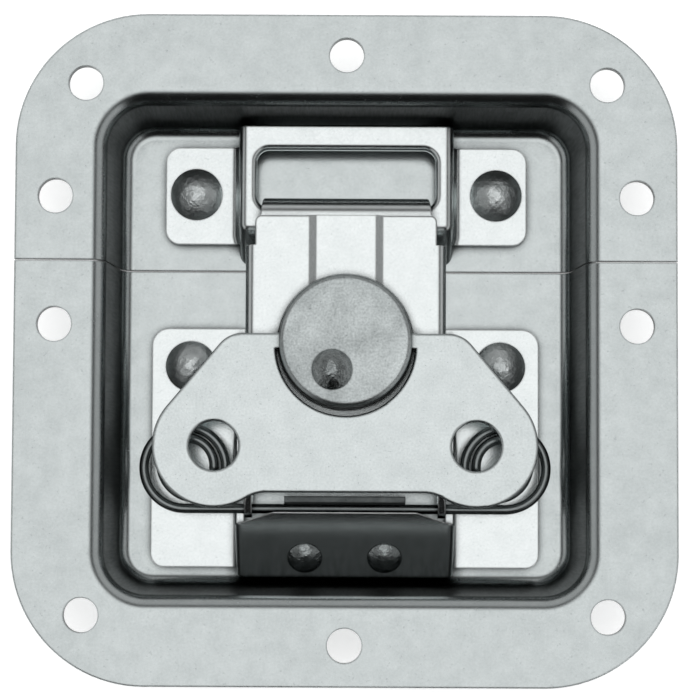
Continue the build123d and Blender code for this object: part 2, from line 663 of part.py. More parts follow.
with BuildPart() as hook_plate:
    with BuildSketch(Plane.YZ):
        with BuildLine():
            Polyline((bend_y, hook_top), (hook_tail_y, hook_top), (hook_tail_y, hook_under), (bend_y, hook_under))
            RadiusArc((bend_y, hook_under), (lip_inner_y, bend_z), hook_bend)
            Polyline((lip_inner_y, bend_z), (lip_inner_y, lip_bottom),
                     (lip_inner_y + hook_sheet, lip_bottom), (lip_inner_y + hook_sheet, bend_z))
            RadiusArc((lip_inner_y + hook_sheet, bend_z), (bend_y, hook_top), -hook_bend - hook_sheet)
        make_face()
    extrude(amount=hook_half, both=True)
    fillet(hook_plate.edges().filter_by(Axis.Z).filter_by_position(
        Axis.Y, hook_tail_y - 0.01, hook_tail_y + 0.01), hook_corner)
    # the lip narrows towards its tip
    with BuildSketch(Plane.XZ.offset(-bend_y)):
        for side in (-1, 1):
            with BuildLine():
                shoulder, tip = hook_half - hook_lip_shoulder, hook_half - hook_lip_inset
                Polyline((side * shoulder, hook_top), (side * tip, lip_bottom),
                         (side * tip, lip_bottom - 1), (side * (hook_half + 1), lip_bottom - 1),
                         (side * (hook_half + 1), hook_top), close=True)
            make_face()
    extrude(amount=-far, mode=Mode.SUBTRACT)
    with BuildSketch(Plane.XY.offset(hook_top)):
        with Locations(((slot_left + slot_right) / 2, drum_y + (slot_bottom + slot_top) / 2)):
            RectangleRounded(slot_right - slot_left, slot_top - slot_bottom, slot_corner)
    extrude(amount=-hook_sheet, mode=Mode.SUBTRACT)
save(hook_plate, "hook_plate")

# ================================================================ drum
drum_neck_z = carrier_top + sliding_clearance
socket_radius = hypot(tab_width, handle_sheet) / 2 + tab_clearance

with BuildPart() as drum:
    with BuildSketch(Plane.XZ.offset(-drum_y)) as half_section:
        with BuildLine():
            Polyline((0, drum_bottom), (drum_flange_radius, drum_bottom), (drum_flange_radius, drum_flange_top),
                     (drum_seat_radius, drum_flange_top), (drum_seat_radius, drum_neck_z),
                     (drum_radius, drum_neck_z), (drum_radius, drum_top), (0, drum_top), close=True)
        make_face()
        fillet(half_section.vertices().group_by(Axis.Y)[-1].sort_by(Axis.X)[-1], drum_round)
    revolve(axis=Axis((0, drum_y, 0), (0, 0, 1)))
    for side in (-1, 1):
        with BuildSketch(Plane.YZ.offset(side * (drum_radius - socket_depth))):
            with Locations((drum_y, handle_z)):
                Circle(socket_radius)
        extrude(amount=side * far, mode=Mode.SUBTRACT)
    with BuildSketch(Plane.XY.offset(drum_top)):
        with Locations((crank_x, drum_y + crank_y)):
            Circle(crank_shank / 2 + shank_clearance)
    extrude(amount=-far, mode=Mode.SUBTRACT)
save(drum, "drum")

crank_seat = Plane(origin=(crank_x, drum_y + crank_y, drum_top))
crank_rivet = dome_rivet(crank_seat, crank_head, crank_dome, crank_shank, drum_top - washer_under,
                         crank_tail, crank_tail_height)
save(crank_rivet, "crank_rivet")

with BuildPart() as crank_washer:
    with BuildSketch(Plane.XY.offset(washer_under)):
        with Locations((crank_x, drum_y + crank_y)):
            Circle(crank_washer_outer / 2)
            Circle(crank_shank / 2 + shank_clearance, mode=Mode.SUBTRACT)
    extrude(amount=crank_washer_thick)
save(crank_washer, "crank_washer")

# ================================================================ handle
# Half of the outline, from the middle of the bottom edge round the lobe to the drum.
waist_y = handle_bottom_y - waist_radius
waist_x = lobe_x - sqrt((lobe_radius + waist_radius) ** 2 - (lobe_y - waist_y) ** 2)
waist_angle = degrees(atan2(waist_y - lobe_y, waist_x - lobe_x))
lobe_start = 90 - handle_slope
slope_end_x = lobe_x + lobe_radius * cos(radians(lobe_start))
slope_end_y = lobe_y + lobe_radius * sin(radians(lobe_start))
shoulder_x = slope_end_x - (handle_top_y - slope_end_y) / tan(radians(handle_slope))
shoulder_cut = handle_shoulder * tan(radians(handle_slope / 2))
slope_start = (shoulder_x + shoulder_cut * cos(radians(handle_slope)),
               handle_top_y - shoulder_cut * sin(radians(handle_slope)))

with BuildPart() as handle:
    with BuildSketch(Plane.XY.offset(handle_under)) as wings:
        with BuildLine():
            Line((0, handle_bottom_y), (waist_x, handle_bottom_y))
            CenterArc((waist_x, waist_y), waist_radius, 90, 180 + waist_angle - 90)
            lobe = CenterArc((lobe_x, lobe_y), lobe_radius, waist_angle, lobe_start - waist_angle)
            Line(lobe @ 1, slope_start)
            CenterArc((shoulder_x - shoulder_cut, handle_top_y - handle_shoulder), handle_shoulder,
                      lobe_start, handle_slope)
            Polyline((shoulder_x - shoulder_cut, handle_top_y), (0, handle_top_y), (0, handle_bottom_y))
        make_face()
        with Locations((0, cut_y)):
            Circle(cut_radius, mode=Mode.SUBTRACT)
        with Locations((0, cut_y + far / 2)):
            Rectangle(2 * cut_half, far, mode=Mode.SUBTRACT)
        with Locations((lobe_x, lobe_y)):
            Circle(wing_hole / 2, mode=Mode.SUBTRACT)
        mirror(about=Plane.YZ)
    extrude(amount=handle_sheet)
    # the tabs that turn in the drum's sockets
    with BuildSketch(Plane.XY.offset(handle_under)):
        for side in (-1, 1):
            with Locations((side * (tab_reach + cut_half + tab_root) / 2, drum_y)):
                Rectangle(cut_half + tab_root - tab_reach, tab_width)
    extrude(amount=handle_sheet)
    roll(handle, handle_under + handle_sheet, handle_edge)
save(handle, "handle")

print("wire length", round(2 * sum(edge.length for edge in half_wire.edges()), 1), "mm")
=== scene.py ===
# %% [markdown]
# # Butterfly case latch
# The latch is a stack of thin pressed steel parts in a shallow dish. The solids of every part are
# already built at their real size, and this script dresses them: it grows the parts that follow a
# rule again as finer meshes, and writes a finish for each kind of metal.
# We start by loading the solids. Everything else takes its place and size from them.

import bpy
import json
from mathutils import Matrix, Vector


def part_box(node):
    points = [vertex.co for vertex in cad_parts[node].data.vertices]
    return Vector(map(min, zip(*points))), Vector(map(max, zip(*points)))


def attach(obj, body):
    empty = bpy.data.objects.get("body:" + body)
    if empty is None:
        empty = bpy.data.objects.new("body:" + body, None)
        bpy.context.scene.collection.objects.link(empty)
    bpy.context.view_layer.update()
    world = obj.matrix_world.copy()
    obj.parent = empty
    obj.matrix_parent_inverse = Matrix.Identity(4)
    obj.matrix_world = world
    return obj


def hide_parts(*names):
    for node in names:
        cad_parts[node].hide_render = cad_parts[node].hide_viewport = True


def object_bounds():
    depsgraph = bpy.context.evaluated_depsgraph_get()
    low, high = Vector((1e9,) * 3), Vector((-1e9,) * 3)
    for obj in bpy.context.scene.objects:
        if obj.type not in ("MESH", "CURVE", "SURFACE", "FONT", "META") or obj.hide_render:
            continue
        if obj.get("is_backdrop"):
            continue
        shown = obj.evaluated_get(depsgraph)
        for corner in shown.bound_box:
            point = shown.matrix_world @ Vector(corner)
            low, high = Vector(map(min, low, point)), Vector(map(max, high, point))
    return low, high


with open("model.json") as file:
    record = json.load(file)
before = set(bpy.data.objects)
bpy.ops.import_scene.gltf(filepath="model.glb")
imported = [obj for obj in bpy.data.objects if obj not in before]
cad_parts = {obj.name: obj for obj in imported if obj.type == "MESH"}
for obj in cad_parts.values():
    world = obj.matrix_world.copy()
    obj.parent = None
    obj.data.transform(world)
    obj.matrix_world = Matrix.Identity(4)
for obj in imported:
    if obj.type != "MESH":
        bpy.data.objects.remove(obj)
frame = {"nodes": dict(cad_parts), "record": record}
cad_box = [list(corner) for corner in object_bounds()]

import json
from math import atan2, cos, pi, radians, sin, tan

import bpy
from mathutils import Vector

nodes = frame["nodes"]
print("solids:", sorted(nodes))

# %% [markdown]
# ## Measures
# A part's box says where it lies, so the script needs no drawing. The levels below are read from
# the boxes once and used by name afterwards. One Blender unit is a metre, so sizes that are easier
# to say in millimetres are written with MM.

# %% Places read from the solids
MM = 0.001
lid_low, lid_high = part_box("dish_upper")
case_low, case_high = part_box("dish_lower")
flange_front = case_high.z
floor_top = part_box("keeper")[0].z
sheet = floor_top - case_low.z
print("flange", round((case_high.x - case_low.x) / MM, 1), "mm wide, sheet", round(sheet / MM, 2), "mm")


# %% [markdown]
# ## Small helpers for node trees
# A material is a graph, and so is a Geometry Nodes tree. Building graphs in code gets long, so
# these helpers add a node and set its inputs, join two sockets, do one sum, and turn a range of
# values into a mask. The same four serve both kinds of tree.

# %% Node helpers
def add_node(tree, kind, **inputs):
    """Adds a node and sets inputs by name, with _ for a space."""
    node = tree.nodes.new(kind)
    for name, value in inputs.items():
        node.inputs[name.replace("_", " ")].default_value = value
    return node


def join(tree, source, out_name, target, in_name):
    """Joins two sockets, each given by its name or its place in the node's list."""
    tree.links.new(source.outputs[out_name], target.inputs[in_name])


def calculate(tree, operation, first, second=None, clamp=False):
    """A math node on sockets or plain numbers. Returns its result socket."""
    node = tree.nodes.new("ShaderNodeMath")
    node.operation = operation
    node.use_clamp = clamp
    for place, value in enumerate((first, second)):
        if isinstance(value, bpy.types.NodeSocket):
            tree.links.new(value, node.inputs[place])
        elif value is not None:
            node.inputs[place].default_value = value
    return node.outputs[0]


def fade(tree, value, low, high, lowest=0.0, highest=1.0):
    """A mask from a socket: lowest where its value is low, highest where it is high."""
    node = add_node(tree, "ShaderNodeMapRange", From_Min=low, From_Max=high, To_Min=lowest, To_Max=highest)
    tree.links.new(value, node.inputs["Value"])
    return node.outputs["Result"]


print("node helpers: add_node, join, calculate, fade")


# %% [markdown]
# ## Pieces grown from a rule
# Geometry Nodes suit whatever repeats, follows a path or can be said as a rule. Each tree below has
# named inputs for its sizes. It ends by turning instances into real mesh and giving the material.
# Pressed steel is smooth on its bends and sharp at its cut edges, so an edge stays sharp where the
# surface turns by more than a set angle.

# %% Opening and closing a geometry tree
SHARP_ANGLE = 35


def new_tree(name, sizes, objects=()):
    """A geometry tree with one input geometry, named sizes in metres or radians, and a material."""
    tree = bpy.data.node_groups.new(name, "GeometryNodeTree")
    tree.interface.new_socket("Geometry", in_out="INPUT", socket_type="NodeSocketGeometry")
    for label in sizes:
        tree.interface.new_socket(label, in_out="INPUT", socket_type="NodeSocketFloat")
    for label in objects:
        tree.interface.new_socket(label, in_out="INPUT", socket_type="NodeSocketObject")
    tree.interface.new_socket("Material", in_out="INPUT", socket_type="NodeSocketMaterial")
    tree.interface.new_socket("Geometry", in_out="OUTPUT", socket_type="NodeSocketGeometry")
    return tree, tree.nodes.new("NodeGroupInput"), tree.nodes.new("NodeGroupOutput")


def vector(tree, x=0.0, y=0.0, z=0.0):
    """A vector from sockets or plain numbers."""
    node = tree.nodes.new("ShaderNodeCombineXYZ")
    for socket, value in zip(node.inputs, (x, y, z)):
        if isinstance(value, bpy.types.NodeSocket):
            tree.links.new(value, socket)
        else:
            socket.default_value = value
    return node.outputs[0]


def smooth_but_sharp(tree, geometry):
    """Smooth shading, with every edge that turns by more than the angle kept sharp."""
    smooth = tree.nodes.new("GeometryNodeSetShadeSmooth")
    tree.links.new(geometry, smooth.inputs["Geometry"])
    turn = tree.nodes.new("GeometryNodeInputMeshEdgeAngle")
    steep = calculate(tree, "GREATER_THAN", turn.outputs["Unsigned Angle"], radians(SHARP_ANGLE))
    crease = tree.nodes.new("GeometryNodeSetShadeSmooth")
    crease.domain = "EDGE"
    crease.inputs["Shade Smooth"].default_value = False
    join(tree, smooth, 0, crease, "Geometry")
    tree.links.new(steep, crease.inputs["Selection"])
    return crease.outputs[0]


def close_tree(tree, start, end, geometry):
    """Real mesh instead of instances, then the material."""
    real = tree.nodes.new("GeometryNodeRealizeInstances")
    tree.links.new(geometry, real.inputs[0])
    shaded = smooth_but_sharp(tree, real.outputs[0])
    paint = tree.nodes.new("GeometryNodeSetMaterial")
    tree.links.new(shaded, paint.inputs["Geometry"])
    join(tree, start, "Material", paint, "Material")
    join(tree, paint, 0, end, 0)
    print(tree.name, "tree:", len(tree.nodes), "nodes")
    return tree


print("edges that turn by more than", SHARP_ANGLE, "degrees stay sharp")


# %% [markdown]
# ## From tree to plain mesh
# A tree needs something to run on, so each piece starts from a few points and edges. The result is
# frozen into a plain mesh, so that it no longer depends on the tree, and the seed is thrown away.
# Weighted normals keep the shading of a flat even right up to its bend.

# %% Growing a piece
def grow(name, points, edges, tree, material, sizes):
    """Runs the tree on a few points and edges and freezes the result into a plain mesh object."""
    seed_mesh = bpy.data.meshes.new(name)
    seed_mesh.from_pydata([tuple(point) for point in points], edges, [])
    seed = bpy.data.objects.new(name + " seed", seed_mesh)
    bpy.context.scene.collection.objects.link(seed)
    modifier = seed.modifiers.new("tree", "NODES")
    modifier.node_group = tree
    sockets = {item.name: item.identifier for item in tree.interface.items_tree if item.in_out == "INPUT"}
    for label, value in sizes.items():
        modifier[sockets[label]] = value
    modifier[sockets["Material"]] = material
    seed.modifiers.new("even normals", "WEIGHTED_NORMAL").keep_sharp = True
    grown = seed.evaluated_get(bpy.context.evaluated_depsgraph_get())
    piece = bpy.data.objects.new(name, bpy.data.meshes.new_from_object(grown))
    # primitives inside the tree leave empty material slots behind
    while None in piece.data.materials[:]:
        piece.data.materials.pop(index=piece.data.materials[:].index(None))
    bpy.context.scene.collection.objects.link(piece)
    bpy.data.objects.remove(seed)
    print(name, len(piece.data.polygons), "faces")
    return piece


# %% [markdown]
# ## Lines with rounded corners
# The dish's section and the wire's tail are both lines with rounded corners. To write down the
# corners and their radii is shorter than to list every point, and a radius is easily changed. One
# helper makes the points of such a line and another the edges that join them.

# %% Lines
CORNER_STEPS = 8


def chain(points):
    """Edges that join a list of points in order."""
    return [(index, index + 1) for index in range(len(points) - 1)]


def round_corners(corners):
    """Points of a line whose corners are rounded: each corner is (point, radius)."""
    points = [corners[0][0]]
    for (before, _), (corner, radius), (after, _) in zip(corners, corners[1:], corners[2:]):
        inward, outward = (corner - before).normalized(), (after - corner).normalized()
        turn = inward.angle(outward)
        if radius == 0:
            points.append(corner)
            continue
        cut = radius * tan(turn / 2)
        middle = corner + (outward - inward).normalized() * (radius / cos(turn / 2))
        for step in range(CORNER_STEPS + 1):
            swing = turn * step / CORNER_STEPS
            across = (corner - inward * cut - middle) * cos(swing)
            points.append(middle + across + inward * (radius * sin(swing)))
    points.append(corners[-1][0])
    return points


print("a rounded corner has", CORNER_STEPS, "steps")


# %% [markdown]
# ## The pressed dish: its wall
# A press makes the dish from one sheet, so one line across the sheet says almost all of it: flat
# floor, bend, steep wall, bend, flange. The tree sweeps that line round the floor's outline.
# Changing a bend means changing one number, where a model made by hand would need every corner
# pulled again.

# %% Tree nodes: outline and sweep
OUTLINE_STEPS = 24


def floor_outline(tree, start):
    """The floor's outline, a rectangle with rounded corners."""
    outline = tree.nodes.new("GeometryNodeCurvePrimitiveQuadrilateral")
    join(tree, start, "Floor width", outline, "Width")
    join(tree, start, "Floor height", outline, "Height")
    rounding = tree.nodes.new("GeometryNodeFilletCurve")
    rounding.mode = "POLY"
    rounding.inputs["Count"].default_value = OUTLINE_STEPS
    join(tree, outline, 0, rounding, "Curve")
    join(tree, start, "Corner", rounding, "Radius")
    return rounding


def swept_wall(tree, start, outline):
    """The section, run round the outline. The sweep mirrors it, so it is mirrored beforehand."""
    upright = tree.nodes.new("GeometryNodeSetCurveNormal")
    upright.mode = "Z_UP"
    join(tree, outline, 0, upright, "Curve")
    line = tree.nodes.new("GeometryNodeMeshToCurve")
    join(tree, start, "Geometry", line, "Mesh")
    mirrored_line = add_node(tree, "GeometryNodeTransform", Scale=(1, -1, 1))
    join(tree, line, 0, mirrored_line, "Geometry")
    sweep = tree.nodes.new("GeometryNodeCurveToMesh")
    join(tree, upright, 0, sweep, "Curve")
    join(tree, mirrored_line, 0, sweep, "Profile Curve")
    return sweep


print("a corner of the dish has", OUTLINE_STEPS, "steps")


# %% [markdown]
# ## The pressed dish: floor, holes and seam
# The sweep leaves the floor open, so the outline is filled twice, for the floor's front and back.
# A press then punches the holes and shears the sheet at the seam. The tree does the same with one
# Boolean: a cylinder on each hole's place, and a block over the half that belongs to the other
# dish. The places are points, and each point carries its hole's radius.

# %% Tree nodes: floor, punches and block
HOLE_SIDES, PUNCH_DEPTH, BLOCK_SIZE = 64, 40 * MM, 200 * MM


def floor_faces(tree, start, outline):
    """The floor's two faces, the front looking up and the back looking down."""
    back = calculate(tree, "SUBTRACT", start.outputs["Floor top"], start.outputs["Sheet"])
    faces = []
    for height, turn_over in ((start.outputs["Floor top"], False), (back, True)):
        fill = tree.nodes.new("GeometryNodeFillCurve")
        fill.mode = "NGONS"
        join(tree, outline, 0, fill, "Curve")
        lift = tree.nodes.new("GeometryNodeTransform")
        join(tree, fill, 0, lift, "Geometry")
        tree.links.new(vector(tree, z=height), lift.inputs["Translation"])
        flip = add_node(tree, "GeometryNodeFlipFaces", Selection=turn_over)
        join(tree, lift, 0, flip, "Mesh")
        faces.append(flip)
    return faces


def punches(tree, start):
    """A cylinder on each point of the holes' object, as wide as the point says."""
    holes = tree.nodes.new("GeometryNodeObjectInfo")
    join(tree, start, "Holes", holes, "Object")
    size = tree.nodes.new("GeometryNodeInputNamedAttribute")
    size.inputs["Name"].default_value = "radius"
    punch = add_node(tree, "GeometryNodeMeshCylinder", Vertices=HOLE_SIDES, Radius=1.0, Depth=PUNCH_DEPTH)
    punched = tree.nodes.new("GeometryNodeInstanceOnPoints")
    join(tree, holes, "Geometry", punched, "Points")
    join(tree, punch, "Mesh", punched, "Instance")
    tree.links.new(vector(tree, size.outputs[0], size.outputs[0], 1.0), punched.inputs["Scale"])
    return punched


def other_half(tree, start):
    """A block over everything beyond the seam. Side is 1 to keep what lies above it, -1 below."""
    block = add_node(tree, "GeometryNodeMeshCube", Size=(BLOCK_SIZE, BLOCK_SIZE, BLOCK_SIZE))
    beyond = calculate(tree, "MULTIPLY", start.outputs["Side"], -BLOCK_SIZE / 2)
    middle = calculate(tree, "ADD", start.outputs["Seam"], beyond)
    place = tree.nodes.new("GeometryNodeTransform")
    join(tree, block, "Mesh", place, "Geometry")
    tree.links.new(vector(tree, y=middle), place.inputs["Translation"])
    return place


print("a punched hole has", HOLE_SIDES, "sides")

# %% [markdown]
# ## The pressed dish: the whole tree
# Now the pieces are put together: wall and floor are joined and their doubled points welded, so
# that the sheet is one closed skin, and the Boolean takes away the holes and the other half.

# %% Tree: pressed dish
WELD = 0.001 * MM


def make_dish_tree():
    tree, start, end = new_tree("pressed dish", ["Floor width", "Floor height", "Corner", "Floor top",
                                                 "Sheet", "Seam", "Side"], ["Holes"])
    outline = floor_outline(tree, start)
    parts = tree.nodes.new("GeometryNodeJoinGeometry")
    for piece in [swept_wall(tree, start, outline)] + floor_faces(tree, start, outline):
        join(tree, piece, 0, parts, 0)
    weld = add_node(tree, "GeometryNodeMergeByDistance", Distance=WELD)
    join(tree, parts, 0, weld, "Geometry")
    cut = tree.nodes.new("GeometryNodeMeshBoolean")
    cut.operation = "DIFFERENCE"
    join(tree, weld, 0, cut, "Mesh 1")
    join(tree, punches(tree, start), 0, cut, "Mesh 2")
    join(tree, other_half(tree, start), 0, cut, "Mesh 2")
    return close_tree(tree, start, end, cut.outputs["Mesh"])


dish_tree = make_dish_tree()


# %% [markdown]
# ## Rivets: the domed head
# A rivet is a domed head, a shank through the sheets and a tail squeezed flat behind them. The
# latch has seven in four sizes, so one tree makes any of them from its sizes. A scaled ball would
# give the head a soft rim. Here the dome is a disc whose rings are lifted by the formula of a
# sphere, so it meets its rim at the right angle whatever its width and height.

# %% Tree nodes: dome
RIVET_SIDES, DOME_RINGS = 72, 20


def square(tree, value):
    return calculate(tree, "POWER", value, 2.0)


def domed_head(tree, start):
    """A disc whose rings are lifted onto the sphere that passes through rim and top."""
    size = start.outputs
    rise = calculate(tree, "SUBTRACT", size["Dome"], size["Rim"])
    squares = calculate(tree, "ADD", square(tree, size["Head"]), square(tree, rise))
    sphere = calculate(tree, "DIVIDE", squares, calculate(tree, "MULTIPLY", rise, 2.0))
    disc = add_node(tree, "GeometryNodeMeshCone", Vertices=RIVET_SIDES, Side_Segments=DOME_RINGS,
                    Radius_Top=0.0, Depth=0.0)
    disc.fill_type = "NONE"
    join(tree, start, "Head", disc, "Radius Bottom")
    spot = tree.nodes.new("GeometryNodeInputPosition")
    axes = tree.nodes.new("ShaderNodeSeparateXYZ")
    join(tree, spot, 0, axes, 0)
    x, y = axes.outputs["X"], axes.outputs["Y"]
    across = calculate(tree, "ADD", square(tree, x), square(tree, y))
    above_centre = calculate(tree, "SQRT", calculate(tree, "SUBTRACT", square(tree, sphere), across))
    centre = calculate(tree, "SUBTRACT", size["Dome"], sphere)
    lifted = tree.nodes.new("GeometryNodeSetPosition")
    join(tree, disc, "Mesh", lifted, "Geometry")
    height = calculate(tree, "ADD", above_centre, centre)
    tree.links.new(vector(tree, x, y, height), lifted.inputs["Position"])
    return lifted


print("a dome has", DOME_RINGS, "rings of", RIVET_SIDES, "sides")


# %% [markdown]
# ## Rivets: shank, tail and the whole tree
# Below the dome a rivet is a stack of short cones: the head's rim, the shank, and a tail whose
# lower half is narrower, as a squeezed end is. The stack is welded to the dome and one copy is set
# on each point that the tree is given. Tilt turns the copies, for rivets in a sloped sheet.

# %% Tree: rivets
def rivet_steps(tree, size):
    """Rim, shank and the two halves of the tail, as moved cones."""
    under = calculate(tree, "MULTIPLY", size["Grip"], -1.0)
    half_tail = calculate(tree, "DIVIDE", size["Tail height"], 2.0)
    narrow = calculate(tree, "SUBTRACT", size["Tail"], calculate(tree, "DIVIDE", size["Tail height"], 3.0))
    below = calculate(tree, "SUBTRACT", under, half_tail)
    steps = ((size["Head"], size["Head"], size["Rim"], size["Rim"]),
             (size["Shank"], size["Shank"], size["Grip"], 0.0),
             (size["Tail"], size["Tail"], half_tail, under),
             (size["Tail"], narrow, half_tail, below))
    for top_radius, bottom_radius, tall, top in steps:
        step = add_node(tree, "GeometryNodeMeshCone", Vertices=RIVET_SIDES)
        tree.links.new(top_radius, step.inputs["Radius Top"])
        tree.links.new(bottom_radius, step.inputs["Radius Bottom"])
        tree.links.new(tall, step.inputs["Depth"])
        moved = tree.nodes.new("GeometryNodeTransform")
        join(tree, step, "Mesh", moved, "Geometry")
        base = calculate(tree, "SUBTRACT", top, tall)
        tree.links.new(vector(tree, z=base), moved.inputs["Translation"])
        yield moved


def make_rivet_tree():
    tree, start, end = new_tree("rivets", ["Head", "Dome", "Rim", "Shank", "Grip", "Tail",
                                           "Tail height", "Tilt"])
    rivet = tree.nodes.new("GeometryNodeJoinGeometry")
    for part in (domed_head(tree, start), *rivet_steps(tree, start.outputs)):
        join(tree, part, 0, rivet, 0)
    weld = add_node(tree, "GeometryNodeMergeByDistance", Distance=WELD)
    join(tree, rivet, 0, weld, "Geometry")
    placed = tree.nodes.new("GeometryNodeInstanceOnPoints")
    join(tree, start, "Geometry", placed, "Points")
    join(tree, weld, 0, placed, "Instance")
    tree.links.new(vector(tree, x=start.outputs["Tilt"]), placed.inputs["Rotation"])
    return close_tree(tree, start, end, placed.outputs[0])


rivet_tree = make_rivet_tree()


# %% [markdown]
# ## The hinge wire
# The spring is one piece of wire: straight through the hinge, then a flat spiral at either end, and
# a tail that dives under its own turn and presses on the carrier. Its middle line is a list of
# turns whose radii differ a little, and the tree runs a round section along that line.

# %% Tree: wire
WIRE_SIDES = 28


def make_wire_tree():
    tree, start, end = new_tree("wire", ["Radius"])
    line = tree.nodes.new("GeometryNodeMeshToCurve")
    join(tree, start, "Geometry", line, "Mesh")
    ring = add_node(tree, "GeometryNodeCurvePrimitiveCircle", Resolution=WIRE_SIDES)
    join(tree, start, "Radius", ring, "Radius")
    wire = add_node(tree, "GeometryNodeCurveToMesh", Fill_Caps=True)
    join(tree, line, 0, wire, "Curve")
    join(tree, ring, 0, wire, "Profile Curve")
    return close_tree(tree, start, end, wire.outputs[0])


wire_tree = make_wire_tree()


# %% [markdown]
# ## Shader groups
# Plated sheet is never one even grey, and every plate of the latch shows the same few effects: clouds and
# grain, scratches and worn edges. The colour is also darkened as painted shade in the gaps and on the steep
# walls. Each effect is built once as a node group with named inputs, and each finish places the group with
# values of its own. Most of them start from a noise of a given size, so that gets a helper too.

# %% Group helpers
NOISE_ROUGHNESS = 0.6


def new_group(name, numbers, colours=(), outputs=(("Mask", "NodeSocketFloat"),)):
    """A shader node group with named inputs and outputs, ready for its inner nodes."""
    group = bpy.data.node_groups.new(name, "ShaderNodeTree")
    for label, value in numbers:
        socket = group.interface.new_socket(label, in_out="INPUT", socket_type="NodeSocketFloat")
        socket.default_value = value
    for label in colours:
        group.interface.new_socket(label, in_out="INPUT", socket_type="NodeSocketColor")
    for label, kind in outputs:
        group.interface.new_socket(label, in_out="OUTPUT", socket_type=kind)
    return group, group.nodes.new("NodeGroupInput"), group.nodes.new("NodeGroupOutput")


def noise_of_size(group, place, size, detail):
    """A noise whose spots are about size across. Returns its value socket."""
    noise = add_node(group, "ShaderNodeTexNoise", Detail=detail, Roughness=NOISE_ROUGHNESS)
    group.links.new(place, noise.inputs["Vector"])
    group.links.new(calculate(group, "DIVIDE", 1.0, size), noise.inputs["Scale"])
    return noise.outputs["Fac"]


def give_mask(group, mask, amount, end):
    """Puts out the mask, weakened by the group's Amount."""
    group.links.new(calculate(group, "MULTIPLY", mask, amount), end.inputs["Mask"])
    print("group:", group.name)
    return group


# the Mix node has sockets for every kind of value, and these are the places of those for colour
FIRST_COLOUR, SECOND_COLOUR, MIXED_COLOUR = 6, 7, 2


def mix_colours(tree, share, first, second):
    """Mixes two colours, each a socket or three numbers. Returns the socket of the result."""
    mix = tree.nodes.new("ShaderNodeMix")
    mix.data_type = "RGBA"
    tree.links.new(share, mix.inputs["Factor"])
    for place, colour in ((FIRST_COLOUR, first), (SECOND_COLOUR, second)):
        if isinstance(colour, bpy.types.NodeSocket):
            tree.links.new(colour, mix.inputs[place])
        else:
            mix.inputs[place].default_value = (*colour, 1)
    return mix.outputs[MIXED_COLOUR]


print("group helpers: new_group, noise_of_size, give_mask, mix_colours")


# %% [markdown]
# ## Clouds, grain and pits
# Zinc plating has soft clouds a few millimetres across and a fine grain, and both change its colour
# and how sharply it reflects. A flat colour would look like paint. So one noise makes the clouds
# and a finer one the grain, and their sum sets both colour and roughness. A third noise, cut off
# high, leaves only its peaks, which become small dark pits.

# %% Group: plating
CLOUD_DETAIL, GRAIN_DETAIL, PIT_DETAIL = 4.0, 3.0, 1.0
PIT_SIZE, PIT_FROM, PIT_FULL = 1.3, 0.69, 0.76


def make_plating_group():
    group, start, end = new_group(
        "plating", [("Cloud size", 5 * MM), ("Grain size", 0.4 * MM), ("Cloud", 0.5), ("Grain", 0.5),
                    ("Smooth", 0.2), ("Rough", 0.35), ("Pits", 0.5)], ["Light", "Dark"],
        [("Colour", "NodeSocketColor"), ("Roughness", "NodeSocketFloat"),
         ("Grain height", "NodeSocketFloat"), ("Cloud height", "NodeSocketFloat")])
    size = start.outputs
    place = add_node(group, "ShaderNodeTexCoord").outputs["Object"]
    cloud = noise_of_size(group, place, size["Cloud size"], CLOUD_DETAIL)
    grain = noise_of_size(group, place, size["Grain size"], GRAIN_DETAIL)
    share = 0.5
    for height, amount in ((cloud, size["Cloud"]), (grain, size["Grain"])):
        centred = calculate(group, "SUBTRACT", height, 0.5)
        share = calculate(group, "ADD", calculate(group, "MULTIPLY", centred, amount), share, clamp=True)
    pit_size = calculate(group, "MULTIPLY", size["Grain size"], PIT_SIZE)
    pit = fade(group, noise_of_size(group, place, pit_size, PIT_DETAIL), PIT_FROM, PIT_FULL)
    share = calculate(group, "SUBTRACT", share, calculate(group, "MULTIPLY", pit, size["Pits"]), clamp=True)
    rough = group.nodes.new("ShaderNodeMapRange")
    group.links.new(share, rough.inputs["Value"])
    group.links.new(size["Rough"], rough.inputs["To Min"])
    group.links.new(size["Smooth"], rough.inputs["To Max"])
    group.links.new(mix_colours(group, share, size["Dark"], size["Light"]), end.inputs["Colour"])
    group.links.new(rough.outputs["Result"], end.inputs["Roughness"])
    group.links.new(grain, end.inputs["Grain height"])
    group.links.new(cloud, end.inputs["Cloud height"])
    return group


plating = make_plating_group()
print("group:", plating.name)


# %% [markdown]
# ## Scratches
# Hands, straps and other cases leave hairline scratches. Drawing each one would take a picture. A
# noise squeezed across and pulled out along turns its spots into long thin lines, and three such
# noises at different angles look like wear from all sides.

# %% Group: scratches
SCRATCH_WIDTH, SCRATCH_LENGTH = 0.06 * MM, 8 * MM
SCRATCH_FROM, SCRATCH_FULL = 0.70, 0.78
SCRATCH_DIRECTIONS = ((25, 0.0), (-52, 0.31), (96, 0.77))  # degrees, and a shift that sets them apart


